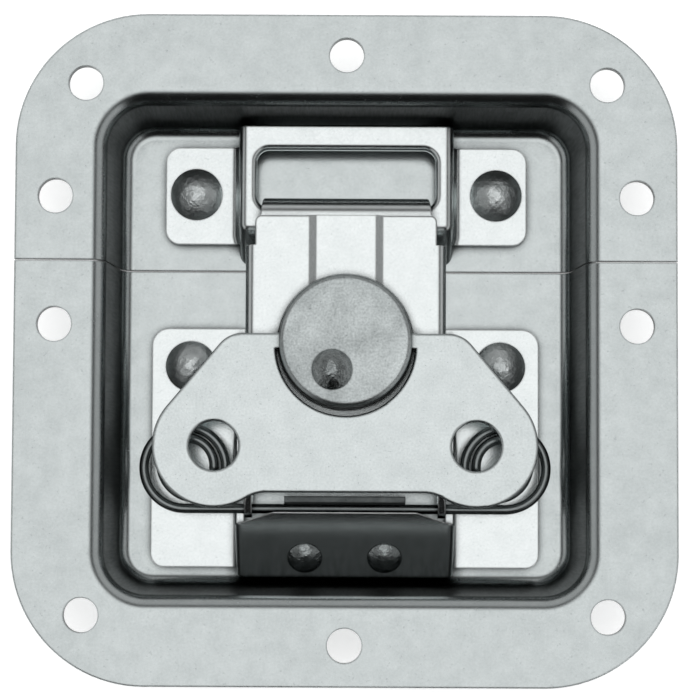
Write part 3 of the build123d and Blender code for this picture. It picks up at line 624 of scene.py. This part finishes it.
def make_scratch_group():
    group, start, end = new_group("scratches", [("Width", SCRATCH_WIDTH), ("Length", SCRATCH_LENGTH),
                                                ("Amount", 1.0)])
    place = add_node(group, "ShaderNodeTexCoord").outputs["Object"]
    total = 0.0
    for angle, shift in SCRATCH_DIRECTIONS:
        turned = add_node(group, "ShaderNodeMapping", Rotation=(0.0, 0.0, radians(angle)),
                          Location=(shift, shift, shift))
        group.links.new(place, turned.inputs["Vector"])
        axes = group.nodes.new("ShaderNodeSeparateXYZ")
        join(group, turned, 0, axes, 0)
        stretched = group.nodes.new("ShaderNodeCombineXYZ")
        for axis, size in (("X", "Length"), ("Y", "Width"), ("Z", "Length")):
            shrunk = calculate(group, "DIVIDE", axes.outputs[axis], start.outputs[size])
            group.links.new(shrunk, stretched.inputs[axis])
        noise = add_node(group, "ShaderNodeTexNoise", Scale=1.0, Detail=1.0)
        join(group, stretched, 0, noise, "Vector")
        line = fade(group, noise.outputs["Fac"], SCRATCH_FROM, SCRATCH_FULL)
        total = calculate(group, "MAXIMUM", line, total)
    return give_mask(group, total, start.outputs["Amount"], end)


scratches = make_scratch_group()


# %% [markdown]
# ## Worn edges
# The press leaves each sheet's edge slightly round, and handling polishes it. Rounding every edge
# in the mesh would cost many faces. The Bevel node gives the normal that a rounded edge would have.
# Where it differs from the true normal there is an edge, and the difference is a mask for a lighter
# metal. It is measured as a cosine, which is one where the two agree.

# %% Group: worn edges
EDGE_ROUNDING, EDGE_SAMPLES = 0.32 * MM, 4
EDGE_FROM, EDGE_FULL = 0.995, 0.9


def make_edge_group():
    group, start, end = new_group("worn edge", [("Amount", 1.0)], (),
                                  [("Mask", "NodeSocketFloat"), ("Normal", "NodeSocketVector")])
    bevel = add_node(group, "ShaderNodeBevel", Radius=EDGE_ROUNDING)
    bevel.samples = EDGE_SAMPLES
    join(group, bevel, "Normal", end, "Normal")
    shape = add_node(group, "ShaderNodeNewGeometry")
    agreement = add_node(group, "ShaderNodeVectorMath")
    agreement.operation = "DOT_PRODUCT"
    join(group, bevel, "Normal", agreement, 0)
    join(group, shape, "Normal", agreement, 1)
    edge = fade(group, agreement.outputs["Value"], EDGE_FROM, EDGE_FULL)
    return give_mask(group, edge, start.outputs["Amount"], end)


worn_edge = make_edge_group()


# %% [markdown]
# ## Painted shade in the gaps
# The colour is darkened as painted shade where a spot is closed in: beside a rivet, along the foot of a
# plate, in the slot round the drum. The Ambient Occlusion node measures how open a spot is within a short
# distance, and a fade turns that into a mask: one deep in a gap, none in the open.

# %% Group: grime
GAP_SHADE_REACH, GAP_SHADE_SAMPLES = 2.2 * MM, 6
GAP_SHADE_FROM, GAP_SHADE_FULL = 0.78, 0.52


def make_gap_shade_group():
    group, start, end = new_group("gap_shade", [("Amount", 1.0)])
    openness = add_node(group, "ShaderNodeAmbientOcclusion", Distance=GAP_SHADE_REACH)
    openness.samples = GAP_SHADE_SAMPLES
    # painted shade: one where the spot is closed in, none in the open
    painted_gap_shade = fade(group, openness.outputs["AO"], GAP_SHADE_FROM, GAP_SHADE_FULL)
    return give_mask(group, painted_gap_shade, start.outputs["Amount"], end)


gap_shade = make_gap_shade_group()
print("grime looks for walls within", round(GAP_SHADE_REACH / MM, 1), "mm")


# %% [markdown]
# ## Steep walls: painted shade and die lines
# Where the press pulls sheet down into a wall, the die rubs it from rim to floor, so such walls are duller
# than the flats, with fine lines running down them. Their colour is also darkened far below the flats' as
# painted shade, for the dark that steep walls mirror. The surface's own normal tells walls from flats, and
# a noise stretched along the height draws the lines.

# %% Group: drawn walls
LINE_WIDTH, LINE_SQUEEZE, LINE_DETAIL = 0.35 * MM, 0.06, 2.0
STEEP_FROM, STEEP_FULL = 0.75, 0.25
STREAK_FROM, STREAK_FULL, STREAK_LOWEST = 0.75, 0.35, 0.88


def make_wall_shade_group():
    group, start, end = new_group("steep wall shade and die lines", [("Amount", 1.0), ("Line width", LINE_WIDTH)])
    coordinates = add_node(group, "ShaderNodeTexCoord")
    facing = group.nodes.new("ShaderNodeSeparateXYZ")
    join(group, coordinates, "Normal", facing, 0)
    steep = fade(group, calculate(group, "ABSOLUTE", facing.outputs["Z"]), STEEP_FROM, STEEP_FULL)
    squeezed = add_node(group, "ShaderNodeMapping", Scale=(1.0, 1.0, LINE_SQUEEZE))
    join(group, coordinates, "Object", squeezed, "Vector")
    lines = noise_of_size(group, squeezed.outputs[0], start.outputs["Line width"], LINE_DETAIL)
    streak = fade(group, lines, STREAK_FROM, STREAK_FULL, lowest=STREAK_LOWEST)
    wall_shade = calculate(group, "MULTIPLY", steep, streak)
    return give_mask(group, wall_shade, start.outputs["Amount"], end)


wall_shade_and_die_lines = make_wall_shade_group()


# %% [markdown]
# ## One recipe for plated metal
# All the finishes share one recipe. The plating comes first. Then edges and scratches lighten it, the die
# dulls the walls that it drew, painted shade darkens those walls, and painted shade darkens the gaps. The
# relief comes last: grain, dents and scratches tilt the normal of the worn edge a little. Each finish then
# differs only in its own values, as real platings do.

# %% Metal recipe
# painted shade: the colour that the gaps are darkened towards
GAP_SHADE_COLOUR = (0.030, 0.034, 0.034)
EDGE_GLEAM = 1.12          # worn metal, as a share of the light tone
# painted shade: steep walls are darkened to this share of the dark tone
PAINTED_WALL_SHADE = 0.12         # drawn walls, as a share of the dark tone
DRAWN_ROUGHNESS = 0.12     # added where the die has rubbed
GRAIN_DEPTH, DENT_DEPTH, SCRATCH_DEPTH = 0.05 * MM, 0.3 * MM, 0.01 * MM


def add_group(tree, group, **inputs):
    """Places a shader group in a material and sets its inputs by name, with _ for a space."""
    node = tree.nodes.new("ShaderNodeGroup")
    node.node_tree = group
    for name, value in inputs.items():
        node.inputs[name.replace("_", " ")].default_value = value
    return node


def add_relief(tree, normal, height, strength, depth):
    """Tilts a normal by a height. A negative strength cuts into the surface."""
    if strength == 0:
        return normal
    relief = add_node(tree, "ShaderNodeBump", Strength=abs(strength), Distance=depth)
    relief.invert = strength < 0
    tree.links.new(height, relief.inputs["Height"])
    tree.links.new(normal, relief.inputs["Normal"])
    return relief.outputs["Normal"]


def metal(name, light, dark, smooth, rough, cloud_size, cloud, grain_size, grain, bump,
          dents=0.0, edge=0.6, scratch=0.3, pits=0.4, gap_shade_amount=0.9, wall_shade=0.0):
    """A plated metal. Sizes are in metres, smooth and rough are the ends of its roughness."""
    material = bpy.data.materials.new(name)
    material.use_nodes = True
    tree = material.node_tree
    tree.nodes.clear()
    plate = add_group(tree, plating, Cloud_size=cloud_size, Grain_size=grain_size, Cloud=cloud,
                      Grain=grain, Smooth=smooth, Rough=rough, Pits=pits, Light=(*light, 1),
                      Dark=(*dark, 1)).outputs
    edges = add_group(tree, worn_edge, Amount=edge).outputs
    lines = add_group(tree, scratches, Amount=scratch).outputs["Mask"]
    marks = calculate(tree, "MAXIMUM", edges["Mask"], lines)
    colour = mix_colours(tree, marks, plate["Colour"], [min(1.0, value * EDGE_GLEAM) for value in light])
    roughness = plate["Roughness"]
    # painted shade: steep walls get a much darker colour; the added roughness is the die's rub
    if wall_shade:
        walls = add_group(tree, wall_shade_and_die_lines, Amount=wall_shade).outputs["Mask"]
        colour = mix_colours(tree, walls, colour, [value * PAINTED_WALL_SHADE for value in dark])
        roughness = calculate(tree, "ADD", roughness, calculate(tree, "MULTIPLY", walls, DRAWN_ROUGHNESS))
    # painted shade: the colour is darkened in the gaps, by how closed in each spot is
    gap_shade_mask = add_group(tree, gap_shade, Amount=gap_shade_amount).outputs["Mask"]
    normal = add_relief(tree, edges["Normal"], plate["Grain height"], bump, GRAIN_DEPTH)
    normal = add_relief(tree, normal, plate["Cloud height"], dents, DENT_DEPTH)
    normal = add_relief(tree, normal, lines, -scratch, SCRATCH_DEPTH)
    shader = add_node(tree, "ShaderNodeBsdfPrincipled", Metallic=1.0)
    tree.links.new(mix_colours(tree, gap_shade_mask, colour, GAP_SHADE_COLOUR), shader.inputs["Base Color"])
    tree.links.new(roughness, shader.inputs["Roughness"])
    tree.links.new(normal, shader.inputs["Normal"])
    join(tree, shader, "BSDF", tree.nodes.new("ShaderNodeOutputMaterial"), "Surface")
    print("finish:", name)
    return material


# %% [markdown]
# ## Dish, plates and handle
# The dish is satin zinc, dull on its drawn walls, which are also darkened as painted shade. The keeper,
# base plate, carrier and hook are brighter and a little smoother. The handle has a deeper grain, more pits
# and more scratches, because hands and cases rub it.

# %% Finishes of the sheet parts
dish_steel = metal("dish_steel", light=(0.70, 0.745, 0.745), dark=(0.54, 0.585, 0.585),
                   smooth=0.17, rough=0.28, cloud_size=3 * MM, cloud=0.9, grain_size=0.4 * MM,
                   grain=0.6, bump=0.12, scratch=0.15, gap_shade_amount=0.97, wall_shade=0.97)
bright_plate = metal("bright_plate", light=(0.95, 0.99, 0.99), dark=(0.79, 0.84, 0.84),
                     smooth=0.15, rough=0.26, cloud_size=3 * MM, cloud=0.7, grain_size=0.4 * MM,
                     grain=0.8, bump=0.16, scratch=0.25, gap_shade_amount=0.97)
handle_plate = metal("handle_plate", light=(0.79, 0.84, 0.84), dark=(0.61, 0.66, 0.66),
                     smooth=0.18, rough=0.30, cloud_size=4 * MM, cloud=0.8, grain_size=0.35 * MM,
                     grain=0.9, bump=0.26, scratch=0.4, pits=0.6)

# %% [markdown]
# ## Drum, rivets, wire and saddle
# The drum is cast, so it is darker and grainy. The riveting tool polishes the heads and leaves them
# slightly dented. The crank and the bridge's small rivets get a darker copy of the rivet steel, as painted
# shade. The spring is dark drawn wire, and the saddle that holds it is coloured near black as painted
# shade.

# %% Finishes of the other parts
cast_drum = metal("cast_drum", light=(0.72, 0.77, 0.77), dark=(0.33, 0.36, 0.36),
                  smooth=0.26, rough=0.36, cloud_size=6 * MM, cloud=1.3, grain_size=0.35 * MM,
                  grain=1.2, bump=0.55, dents=0.14, scratch=0.0)
rivet_steel = metal("rivet_steel", light=(0.95, 1.0, 1.0), dark=(0.58, 0.62, 0.62),
                    smooth=0.28, rough=0.46, cloud_size=1.6 * MM, cloud=1.6, grain_size=0.3 * MM,
                    grain=0.3, bump=0.08, dents=0.9, scratch=0.0, gap_shade_amount=0.2)
# painted shade: a darker copy of the rivet steel, for the crank and the bridge's rivets
shaded_rivet_steel = metal("shaded_rivet_steel", light=(0.52, 0.56, 0.56), dark=(0.16, 0.175, 0.175),
                    smooth=0.13, rough=0.24, cloud_size=1.2 * MM, cloud=1.4, grain_size=0.3 * MM,
                    grain=0.3, bump=0.08, dents=0.9, scratch=0.0, gap_shade_amount=0.2)
spring_wire = metal("spring_wire", light=(0.34, 0.365, 0.365), dark=(0.20, 0.22, 0.22),
                    smooth=0.16, rough=0.28, cloud_size=2 * MM, cloud=0.5, grain_size=0.3 * MM,
                    grain=0.3, bump=0.05, scratch=0.0)
# painted shade: the saddle's near-black colour stands in for the shade it lies in
painted_shade_steel = metal("painted_shade_steel", light=(0.16, 0.175, 0.175), dark=(0.05, 0.055, 0.055),
                      smooth=0.24, rough=0.40, cloud_size=2 * MM, cloud=1.0, grain_size=0.4 * MM,
                      grain=0.5, bump=0.10, scratch=0.0)

# %% [markdown]
# ## Dressing the solids
# The parts bent from sheet and the drum already have their final shape as solids, so they only need
# a finish. The dish, rivets and wire get one too, although finer meshes replace them further down.

# %% Finishes onto the solids
# the saddle's finish is painted shade
FINISH = {"dish_upper": dish_steel, "dish_lower": dish_steel, "keeper": bright_plate,
          "base_plate": bright_plate, "carrier": bright_plate, "hook_plate": bright_plate,
          "hinge_saddle": painted_shade_steel, "handle": handle_plate, "drum": cast_drum,
          "hinge_spring": spring_wire}

for name, solid in nodes.items():
    solid.data.materials.clear()
    solid.data.materials.append(FINISH.get(name, rivet_steel))
print("dressed", len(nodes), "solids")


# %% [markdown]
# ## The dish's section
# The section runs from the floor's flat middle out to the flange's edge and back along the
# underside. The radius of each corner says how the press bends the sheet there, and the outside of
# a bend has the inside's radius plus the sheet. The walls lean outwards by the draft, or the dish
# would stick in the press.

# %% Section of the dish
FLANGE_REACH, FLOOR_CORNER, DRAFT = 17.0 * MM, 3.5 * MM, radians(6)
FLOOR_BEND, RIM_BEND, ROLLED_EDGE = 2.0 * MM, 2.6 * MM, 0.25 * MM


def dish_section():
    """Half of the dish cut across: x outwards from the floor's flat outline, y is the height."""
    floor_back, flange_back = floor_top - sheet, flange_front - sheet
    skin = sheet * (1 / cos(DRAFT) - tan(DRAFT))
    foot = FLOOR_BEND * tan((pi / 2 - DRAFT) / 2)
    rim = foot + (flange_front - floor_top) * tan(DRAFT)
    back_rim = foot + skin + (flange_back - floor_back) * tan(DRAFT)
    corners = [(0, floor_top, 0), (foot, floor_top, FLOOR_BEND), (rim, flange_front, RIM_BEND),
               (FLANGE_REACH, flange_front, ROLLED_EDGE), (FLANGE_REACH, flange_back, 0),
               (back_rim, flange_back, RIM_BEND - sheet), (foot + skin, floor_back, FLOOR_BEND + sheet),
               (0, floor_back, 0)]
    return round_corners([(Vector((x, y, 0)), radius) for x, y, radius in corners])


section = dish_section()
print(len(section), "points in the section")


# %% [markdown]
# ## The dish's holes
# The fixing holes have to match the case, so their places and radii come from the mounts that the
# part's record lists. Four more holes take the rivets of the keeper and the base plate. A dictionary
# with the place as its key keeps a hole that is named twice from being punched twice.

# %% Holes of the dish
RIVET_HOLE = 2.05 * MM


def punched_holes():
    """An object whose points are the holes' places, each with its radius."""
    sizes = {}
    for mount in frame["record"]["mounts"]:
        if mount["kind"] == "bolt_pattern":
            dims = mount["dims"]
            for right in (-0.5, 0.5):
                for up in (-0.5, 0.5):
                    x = mount["pos_m"][0] + right * dims.get("spacing_x_mm", 0) * MM
                    y = mount["pos_m"][1] + up * dims.get("spacing_y_mm", 0) * MM
                    sizes[round(x, 6), round(y, 6)] = dims["hole_r_mm"] * MM
    for rivet in ("keeper_rivet_left", "keeper_rivet_right", "base_rivet_left", "base_rivet_right"):
        low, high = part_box(rivet)
        sizes[(low.x + high.x) / 2, (low.y + high.y) / 2] = RIVET_HOLE
    mesh = bpy.data.meshes.new("holes")
    mesh.from_pydata([(x, y, 0) for x, y in sizes], [], [])
    radius = mesh.attributes.new("radius", "FLOAT", "POINT")
    radius.data.foreach_set("value", list(sizes.values()))
    places = bpy.data.objects.new("holes", mesh)
    bpy.context.scene.collection.objects.link(places)
    return places


holes = punched_holes()
print(len(holes.data.vertices), "holes")

# %% [markdown]
# ## Growing the dish
# A case has a lid, so the dish is split in two along its seam. Both halves come from the one tree,
# cut on one side of the seam or on the other, which keeps their walls in line. The punches have
# done their work then and are removed.

# %% Dish
for name, node, seam, side in (("lid_half_of_the_dish", "dish_upper", lid_low.y, 1.0),
                               ("case_half_of_the_dish", "dish_lower", case_high.y, -1.0)):
    half = grow(name, section, chain(section), dish_tree, dish_steel,
                {"Floor width": 2 * (case_high.x - FLANGE_REACH),
                 "Floor height": lid_high.y - case_low.y - 2 * FLANGE_REACH, "Corner": FLOOR_CORNER,
                 "Floor top": floor_top, "Sheet": sheet, "Seam": seam, "Side": side, "Holes": holes})
    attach(half, "dish")
    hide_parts(node)
bpy.data.objects.remove(holes)


# %% [markdown]
# ## Setting the upright rivets
# Each rivet stands where its solid stands, so its seat is read from the solid's box: the middle
# across, and the foot of the dome in height. Rivets of one size on one body are one mesh, which
# rides on that body.

# %% Upright rivets
RIM = 0.25 * MM
# head, shank and tail are half widths, dome and tail_height are heights, grip is the sheets between
UPRIGHT_PAIRS = {
    "keeper": dict(head=4.1, dome=2.1, shank=2.0, grip=2.7, tail=3.2, tail_height=0.7),
    "base": dict(head=4.0, dome=2.0, shank=2.0, grip=2.4, tail=3.2, tail_height=0.7)}
CRANK = dict(head=3.1, dome=1.6, shank=1.6, grip=8.7, tail=2.9, tail_height=1.2)


def set_rivets(name, body, solids, seats, sizes, finish, tilt=0.0):
    """Rivets of one size, given in millimetres, on their seats and in place of their solids."""
    inputs = {label.capitalize().replace("_", " "): size * MM for label, size in sizes.items()}
    rivets = grow(name, seats, [], rivet_tree, finish, {**inputs, "Rim": RIM, "Tilt": tilt})
    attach(rivets, body)
    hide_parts(*solids)


def upright_seats(solids, dome):
    """Where the heads of upright rivets sit, from the rivets' boxes."""
    boxes = [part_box(solid) for solid in solids]
    return [((low.x + high.x) / 2, (low.y + high.y) / 2, high.z - dome * MM) for low, high in boxes]


for plate, sizes in UPRIGHT_PAIRS.items():
    pair = [f"{plate}_rivet_left", f"{plate}_rivet_right"]
    set_rivets(plate + "_rivets", "dish", pair, upright_seats(pair, sizes["dome"]), sizes, rivet_steel)
crank_seat = upright_seats(["crank_rivet"], CRANK["dome"])
# the crank gets the darker copy of the rivet steel, painted shade
set_rivets("crank", "drum", ["crank_rivet"], crank_seat, CRANK, shaded_rivet_steel)

# %% [markdown]
# ## Setting the sloped rivets
# The two small rivets hold the saddle under the sloped bridge and lie square to it. The bridge's
# head and foot give its slope, and the rivets sit on the line between them and take its angle.

# %% Sloped rivets
BRIDGE_HEAD, BRIDGE_FOOT = Vector((0, -25.1, -3.9)) * MM, Vector((0, -35.7, -10.5)) * MM
SEAT_FROM_FOOT = 3.4 * MM
BRIDGE_RIVET = dict(head=2.65, dome=1.3, shank=1.3, grip=2.25, tail=2.0, tail_height=0.7)

bridge = BRIDGE_HEAD - BRIDGE_FOOT
bridge_angle = atan2(bridge.z, bridge.y)
seat = BRIDGE_FOOT.lerp(BRIDGE_HEAD, SEAT_FROM_FOOT / bridge.y)
small_pair = ["saddle_rivet_left", "saddle_rivet_right"]
small_seats = [(sum(corner.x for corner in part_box(solid)) / 2, seat.y, seat.z) for solid in small_pair]
# the bridge's rivets get the darker copy of the rivet steel, painted shade
set_rivets("bridge_rivets", "dish", small_pair, small_seats, BRIDGE_RIVET, shaded_rivet_steel, tilt=bridge_angle)
print("bridge slopes by", round(bridge_angle / radians(1), 1), "degrees")


# %% [markdown]
# ## Winding the hinge wire
# Each turn of the spiral starts where the last one ended, so only its radius, first angle and sweep
# are needed. Then the tail dives under its own turn. The left half is worked out this way, and the
# right half mirrors it.

# %% Hinge wire
WIRE_RADIUS, OUTER_TURN = 0.75 * MM, 6.4 * MM
TURNS = ((OUTER_TURN, 270, -270), (4.75 * MM, 0, -90), (5.4 * MM, 270, -90), (4.0 * MM, 180, -90),
         (4.3 * MM, 90, -90))  # radius, first angle and sweep, in degrees
DEGREES_PER_STEP = 5
TAIL_START, TAIL_DIVE = Vector((0, -1.05, 0)) * MM, Vector((0.95, -1.0, -2.7)) * MM
TAIL_BEND, TAIL_END = 1.1 * MM, -13.0 * MM

wire_low, wire_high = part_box("hinge_spring")
hinge_y, hinge_z = wire_low.y + WIRE_RADIUS, wire_high.z - WIRE_RADIUS


def on_circle(middle, radius, degrees):
    return middle + radius * Vector((cos(radians(degrees)), sin(radians(degrees)), 0))


def half_of_the_wire():
    """The left half's middle line, from the hinge's middle to the tip of the tail."""
    points = [Vector((0, hinge_y, hinge_z))]
    spot = Vector((wire_low.x + WIRE_RADIUS + OUTER_TURN, hinge_y, hinge_z))
    for radius, first, sweep in TURNS:
        middle = on_circle(spot, -radius, first)
        steps = abs(sweep) // DEGREES_PER_STEP
        points += [on_circle(middle, radius, first + sweep * step / steps) for step in range(steps)]
        spot = on_circle(middle, radius, first + sweep)
    dive = spot + TAIL_START
    under = dive + TAIL_DIVE
    tip = Vector((TAIL_END, under.y, under.z))
    return points + round_corners([(spot, 0), (dive, TAIL_BEND), (under, TAIL_BEND), (tip, 0)])


left_half = half_of_the_wire()
right_half = [Vector((-point.x, point.y, point.z)) for point in left_half[1:]]
middle_line = left_half[::-1] + right_half
hinge_wire = grow("hinge_wire", middle_line, chain(middle_line), wire_tree, spring_wire,
                  {"Radius": WIRE_RADIUS})
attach(hinge_wire, "dish")
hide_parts("hinge_spring")
length = sum((after - before).length for before, after in zip(middle_line, middle_line[1:]))
print("wire", round(length / MM, 1), "mm long")


# %% [markdown]
# ## Floor
# The latch stands on a plain pale floor, which shows through its holes. The floor is an ordinary
# matt white that catches the latch's shadow. To the camera, and in reflections, a little light of
# its own is added, so that the part without shadow reads as white without more light on the metal.
# The lamp reaches less far than the floor does, so that light of its own grows with the distance.
# The floor is wide, so that it also fills a view from low down.

# %% Floor
FLOOR_WHITE, FLOOR_WIDTH = 0.9, 12
GLOW_NEAR, GLOW_FAR = 0.12, 0.50
GLOW_WEAKEST, GLOW_FULL = 0.55, 1.0


def pale_floor():
    material = bpy.data.materials.new("pale_floor")
    material.use_nodes = True
    tree = material.node_tree
    tree.nodes.clear()
    matt = add_node(tree, "ShaderNodeBsdfDiffuse", Color=(FLOOR_WHITE, FLOOR_WHITE, FLOOR_WHITE, 1))
    path = tree.nodes.new("ShaderNodeLightPath")
    seen = 0.0
    for ray in ("Is Camera Ray", "Is Glossy Ray", "Is Transmission Ray"):
        seen = calculate(tree, "MAXIMUM", path.outputs[ray], seen)
    distance = add_node(tree, "ShaderNodeVectorMath")
    distance.operation = "LENGTH"
    join(tree, add_node(tree, "ShaderNodeTexCoord"), "Object", distance, 0)
    far = fade(tree, distance.outputs["Value"], GLOW_NEAR, GLOW_FAR, GLOW_WEAKEST, GLOW_FULL)
    glow = add_node(tree, "ShaderNodeEmission", Color=(1, 1, 1, 1))
    tree.links.new(calculate(tree, "MULTIPLY", far, seen), glow.inputs["Strength"])
    both = tree.nodes.new("ShaderNodeAddShader")
    join(tree, matt, 0, both, 0)
    join(tree, glow, 0, both, 1)
    join(tree, both, 0, tree.nodes.new("ShaderNodeOutputMaterial"), "Surface")
    return material


floor_z = min(corner[2] for corner in cad_box)
bpy.ops.mesh.primitive_plane_add(size=FLOOR_WIDTH, location=(0, 0, floor_z))
floor = bpy.context.object
floor.name = "floor"
floor.data.materials.append(pale_floor())
floor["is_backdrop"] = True
print("floor at", round(floor_z / MM, 2), "mm")

# %% [markdown]
# ## Light
# Bare metal has no shade of its own: it shows whatever it reflects. Straight overhead is a soft
# white window, which faces that lie flat mirror, so that they come out pale. Round it the room is
# dark, and steep walls and sharp bends mirror that. Lower down stand grey walls, which give the
# rivets' domes and the flats their tone when the latch is seen from the side. The walls leave a
# gap behind the viewer, so that the sloped bridge, which faces there, stays dark. A direction is
# told by its slope away from straight up, which is zero overhead and one halfway down.

# %% Light
WINDOW_MIDDLE, WINDOW_HALF, WINDOW_FADE = (0.0, 0.06), (0.20, 0.23), (0.50, 0.48)
WALLS, WALLS_FROM, WALLS_FULL = 0.42, 0.7, 1.3
GAP_FROM, GAP_FULL = 0.75, 0.92
ROOM = 0.006
LOWEST_UPRIGHT = 0.01


def ramp_between(tree, value, low, high):
    """A smooth step of a socket: zero at low, one at high."""
    ramp = add_node(tree, "ShaderNodeMapRange", From_Min=low, From_Max=high)
    ramp.interpolation_type = "SMOOTHSTEP"
    tree.links.new(value, ramp.inputs["Value"])
    return ramp.outputs["Result"]


def window_light(tree, axes, upright):
    """The window: one inside its half width on both axes, none past its faded edge."""
    window = 1.0
    for axis, centre, reach, edge in zip("XY", WINDOW_MIDDLE, WINDOW_HALF, WINDOW_FADE):
        slope = calculate(tree, "DIVIDE", axes.outputs[axis], upright)
        away = calculate(tree, "ABSOLUTE", calculate(tree, "SUBTRACT", slope, centre))
        window = calculate(tree, "MULTIPLY", ramp_between(tree, away, reach + edge, reach), window)
    return window


def wall_light(tree, axes, upright):
    """The grey walls, with a gap towards -Y."""
    x, y = axes.outputs["X"], axes.outputs["Y"]
    level = calculate(tree, "SQRT", calculate(tree, "ADD", square(tree, x), square(tree, y)))
    walls = ramp_between(tree, calculate(tree, "DIVIDE", level, upright), WALLS_FROM, WALLS_FULL)
    behind = calculate(tree, "DIVIDE", calculate(tree, "MULTIPLY", y, -1.0), level)
    beside_gap = ramp_between(tree, behind, GAP_FULL, GAP_FROM)
    return calculate(tree, "MULTIPLY", calculate(tree, "MULTIPLY", walls, beside_gap), WALLS)


def studio_world():
    world = bpy.data.worlds.new("studio")
    bpy.context.scene.world = world
    world.use_nodes = True
    tree = world.node_tree
    axes = tree.nodes.new("ShaderNodeSeparateXYZ")
    join(tree, tree.nodes.new("ShaderNodeTexCoord"), "Object", axes, 0)
    upright = calculate(tree, "MAXIMUM", axes.outputs["Z"], LOWEST_UPRIGHT)
    light = calculate(tree, "ADD", window_light(tree, axes, upright), wall_light(tree, axes, upright))
    background = tree.nodes["Background"]
    background.inputs["Color"].default_value = (1.0, 1.0, 1.0, 1)
    tree.links.new(calculate(tree, "MAXIMUM", light, ROOM), background.inputs["Strength"])


studio_world()
print("window", WINDOW_HALF, "as slopes, walls", WALLS, "and room", ROOM, "of its strength")

# %% [markdown]
# ## Lamp for matt surfaces
# The window is too small to light a matt surface well, and the floor needs light to show a shadow.
# A wide lamp does that. It is hidden from mirror-like reflections, so the metal keeps its contrast.

# %% Lamp for matt surfaces
LAMP_WIDTH, LAMP_WATTS, LAMP_PLACE = 1.0, 4.0, (0.0, 0.1, 0.8)

lamp_data = bpy.data.lights.new("wide_lamp", "AREA")
lamp_data.size, lamp_data.energy = LAMP_WIDTH, LAMP_WATTS
lamp = bpy.data.objects.new("wide_lamp", lamp_data)
lamp.location = LAMP_PLACE
lamp.visible_glossy = False
bpy.context.scene.collection.objects.link(lamp)
print("lamp", LAMP_WIDTH, "m wide,", LAMP_WATTS, "W")

# %% [markdown]
# ## Camera
# The camera looks almost straight down on the latch, a little from the handle's end, so that the
# drum and the hook show some depth. A long lens keeps the dish's four walls alike, and a small
# shift of the lens keeps the flange's sides nearly parallel. The lens follows from how wide the
# view is at the flange and how far away the camera stands.

# %% Camera
VIEW_DISTANCE, VIEW_WIDTH, FILM_WIDTH = 285 * MM, 106.95 * MM, 36
CAMERA_Y, CAMERA_TILT, CAMERA_ROLL = -23.9 * MM, radians(2.63), radians(0.27)
SHIFT_X, SHIFT_Y = 0.0074, 0.0985
NEAREST = 0.01

camera_data = bpy.data.cameras.new("camera")
camera_data.sensor_width = FILM_WIDTH
camera_data.lens = FILM_WIDTH * VIEW_DISTANCE / VIEW_WIDTH
camera_data.shift_x, camera_data.shift_y = SHIFT_X, SHIFT_Y
camera_data.clip_start = NEAREST
camera = bpy.data.objects.new("camera", camera_data)
camera.location = (0.0, CAMERA_Y, flange_front + VIEW_DISTANCE)
camera.rotation_euler = (CAMERA_TILT, 0, CAMERA_ROLL)
bpy.context.scene.collection.objects.link(camera)
bpy.context.scene.camera = camera
bpy.context.scene.view_settings.view_transform = "Standard"
print("lens", round(camera_data.lens, 1), "mm")

# %% [markdown]
# ## Measuring the result
# The dressed latch has to be as large as its solids, or it wouldn't fit its cut-out. The box of the solids
# is measured right after loading, and the box of the finished latch is printed here.

# %% Sizes and finish
visual_box = [list(corner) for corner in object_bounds()]
for side, corner in zip(("lowest", "highest"), visual_box):
    print(side, "corner of the latch, in mm:", [round(value / MM, 2) for value in corner])
